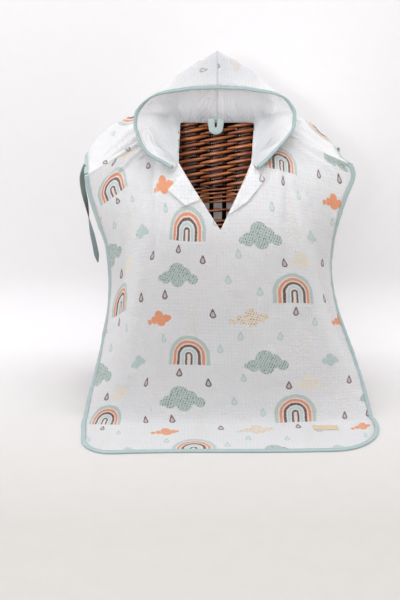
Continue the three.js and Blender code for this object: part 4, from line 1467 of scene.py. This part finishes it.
def make_seat():
    """A woven seat: rods in rounds from the edge to the middle, on a thick frame rod."""
    bundle = RodBundle()
    share = np.linspace(0, 1, 121)
    for number, inset in enumerate(np.arange(0, 80, 7.0)):
        half = (SEAT_HALF[0] - 10 - inset, SEAT_HALF[1] - 10 - inset)
        if half[1] <= 3:
            break
        x, y = seat_outline(share, half)
        wave = 1.4 * np.sin(share * 2 * np.pi * 36 + np.pi * (number % 2))
        middle = np.stack([x, y, SEAT_TOP - 5 + wave], -1)
        bundle.add(rod_rings(middle, 3.6 if number else 9.0, 7), number + 3000)
    for number, x in enumerate(np.arange(-168, 169, 14.0)):
        half_y = (SEAT_HALF[1] - 6) * (1 - (abs(x) / SEAT_HALF[0]) ** 2.6) ** (1 / 2.6)
        y = np.linspace(SEAT_MIDDLE_Y - half_y, SEAT_MIDDLE_Y + half_y, 14)
        middle = np.stack([np.full_like(y, x), y, np.full_like(y, SEAT_TOP - 9.5)], -1)
        bundle.add(rod_rings(middle, 2.4, 6), number + 3100)
    return bundle.build("wicker_seat")


seat = make_seat()


def make_leg(name, x, y):
    """A post wrapped with a flat rod."""
    bundle = RodBundle()
    height = SEAT_TOP - 20 - SEAM
    z = np.linspace(0, height, 12)
    post = np.stack([np.full_like(z, x), np.full_like(z, y), z], -1)
    bundle.add(rod_rings(post, np.interp(z, [0, height], [11.0, 14.0]), 16), 4000)
    turns = 34
    t = np.linspace(0, 1, turns * 10)
    angle = 2 * np.pi * turns * t
    reach = lerp(10.4, 13.4, t)
    path = np.stack([x + reach * np.cos(angle), y + reach * np.sin(angle), lerp(3.2, height - 3, t)], -1)
    bundle.add(rod_rings(path, 2.6, 6), 4100)
    return bundle.build(name)


LEG_AT = (142, 56)
legs = {}
for name, across, away in (
    ("front_left", -1, -1), ("front_right", 1, -1), ("back_left", -1, 1), ("back_right", 1, 1),
):
    legs[name] = make_leg(f"wicker_leg_{name}", across * LEG_AT[0], SEAT_MIDDLE_Y + away * LEG_AT[1])

# Materials
for piece, name, kind in ((front, "front", "panel"), (back, "back", "back")):
    piece.data.materials[0] = muslin(f"printed_muslin_{name}", 1.0, kind)
    piece.data.materials[1] = muslin(f"muslin_reverse_{name}", FADED, kind)
hood_outside = muslin("printed_muslin_hood", SMALL_PIECE_PRINT, "hood")
hood_inside = muslin("muslin_reverse_hood", FADED, "hood")
for piece in (hood_left, hood_right):
    piece.data.materials[0] = hood_outside
    piece.data.materials[1] = hood_inside
lapel_cloth = muslin("muslin_lapel", SMALL_PIECE_PRINT, "lapel")
for piece in (lapel_left, lapel_right):
    piece.data.materials.append(lapel_cloth)
mint = tape("mint_binding_cloth", (178, 196, 196))
for piece in (front_binding, back_binding):
    piece.data.materials.append(mint)
hood_binding.data.materials.append(tape("mint_hood_binding_cloth", (160, 177, 177)))
loop.data.materials.append(tape("mint_loop_cloth", (196, 212, 209)))
# The ties take the mint tape darkened: painted shade, as they hang in shadow under the shoulders.
tie_cloth = tape("mint_tape_painted_shade", (140, 154, 154))
for tie in ties.values():
    tie.data.materials.append(tie_cloth)
label.data.materials.append(tape("cream_label", (218, 199, 172), ripple=False))
willow = wicker("varnished_willow", srgb(255, 158, 78), srgb(160, 70, 30))
painted_shade_willow = wicker("painted_shade_willow", srgb(44, 24, 14), srgb(18, 10, 7), glossy=False)
for piece in (weave_inside, weave_outside, rim, seat, *legs.values()):
    piece.data.materials.append(willow)
# A darker copy of the willow for the underlay rods: painted shade, as they lie deeper in the weave.
shaded_willow = wicker("shaded_willow", srgb(140, 70, 38), srgb(70, 32, 18))
under_rods.data.materials.append(shaded_willow)
# Painted shade: the stakes and the sheet inside the weave take a near-black willow, standing for the shade in
# the gaps.
for piece in (stakes, shade_sheet):
    piece.data.materials.append(painted_shade_willow)

# What rides on what, and which node each piece stands for
SLOTS = {
    "muslin": (front, back, hood_left, hood_right, lapel_left, lapel_right),
    "mint_binding": (front_binding, back_binding, hood_binding, loop),
    "tie_tape": tuple(ties.values()),
    "label_tape": (label,),
    "wicker": (weave_inside, weave_outside, under_rods, stakes, shade_sheet, rim, seat, *legs.values()),
}
for slot_name, group in SLOTS.items():
    for piece in group:
        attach(piece, BODY)
for piece, node in (
    (front, "front_panel"),
    (back, "back_panel"),
    (front_binding, "front_binding"),
    (back_binding, "back_binding"),
    (hood_left, "hood_left"),
    (hood_right, "hood_right"),
    (hood_binding, "hood_binding"),
    (lapel_left, "lapel_left"),
    (lapel_right, "lapel_right"),
    (loop, "hanging_loop"),
    (ties["left"], "tie_left"),
    (ties["right"], "tie_right"),
    (label, "label"),
    (weave_inside, "chair_shell"),
    (rim, "chair_rim"),
    (seat, "chair_seat"),
):
    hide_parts(node)
for name, leg in legs.items():
    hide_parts(f"chair_leg_{name}")

# Floor, wall and light
def make_stage():
    """A pale floor that sweeps up into a wall behind the object."""
    wall_y, turn = 360, 160
    profile = [(-2600, 0), (-1200, 0), (-600, 0), (wall_y - turn, 0)]
    for k in range(1, 13):
        angle = math.pi / 2 * k / 12
        profile.append((wall_y - turn + turn * math.sin(angle), turn - turn * math.cos(angle)))
    profile.append((wall_y, 2600))
    points = [(x, y, z) for y, z in profile for x in (-2600, 2600)]
    faces = [(2 * k, 2 * k + 1, 2 * k + 3, 2 * k + 2) for k in range(len(profile) - 1)]
    obj = mesh_object("studio_sweep", to_object(points), faces)
    nodes = Nodes("studio_paper")
    grain = nodes.noise(nodes.object_place(), 30.0, 3.0)
    _, away, height = nodes.split(nodes.object_place())
    floor_share = nodes.step(height, 0.05, 0.1) * nodes.step(away, -0.1, 0.7)
    wall_paper = nodes.mix(grain, srgb(242, 240, 241), srgb(239, 237, 238))
    table_top = nodes.mix(grain, srgb(209, 206, 202), srgb(204, 201, 197))
    colour = nodes.mix(floor_share, wall_paper, table_top)
    nodes.plug(nodes.shader.inputs["Base Color"], colour)
    obj.data.materials.append(nodes.finish(0.8, specular=0.2))


make_stage()


def add_light(name, place, target, size, power, colour=(1, 1, 1), spread=180):
    data = bpy.data.lights.new(name, "AREA")
    data.shape = "RECTANGLE"
    data.size, data.size_y = size
    data.energy = power
    data.color = colour
    data.spread = math.radians(spread)
    light = bpy.data.objects.new(name, data)
    light.location = place
    light.rotation_euler = (Vector(target) - Vector(place)).to_track_quat("-Z", "Y").to_euler()
    bpy.context.scene.collection.objects.link(light)


add_light("window_left", (-2.2, -0.9, 1.3), (0, 0, 0.3), (1.8, 2.2), 10.5, (0.97, 0.98, 1.0))
add_light("window_right", (2.2, -0.6, 1.3), (0, 0, 0.3), (1.6, 2.0), 5)
add_light("ceiling", (0.1, -0.3, 2.4), (0, 0, 0.3), (2.0, 1.6), 12)
add_light("front_fill", (-0.5, -2.4, 1.6), (0, 0, 0.35), (1.8, 1.2), 14)
add_light("hood_fill", (-0.35, -1.3, 0.62), (0.03, 0.03, 0.56), (0.3, 0.2), 0.12, spread=26)
add_light("wall_wash", (0, -0.2, 2.3), (0, 0.36, 0.8), (2.6, 0.5), 12)
world = bpy.data.worlds.new("soft_white")
world.use_nodes = True
world.node_tree.nodes["Background"].inputs["Color"].default_value = (0.98, 0.98, 1.0, 1)
world.node_tree.nodes["Background"].inputs["Strength"].default_value = 0.6
bpy.context.scene.world = world
bpy.context.scene.view_settings.view_transform = "Standard"
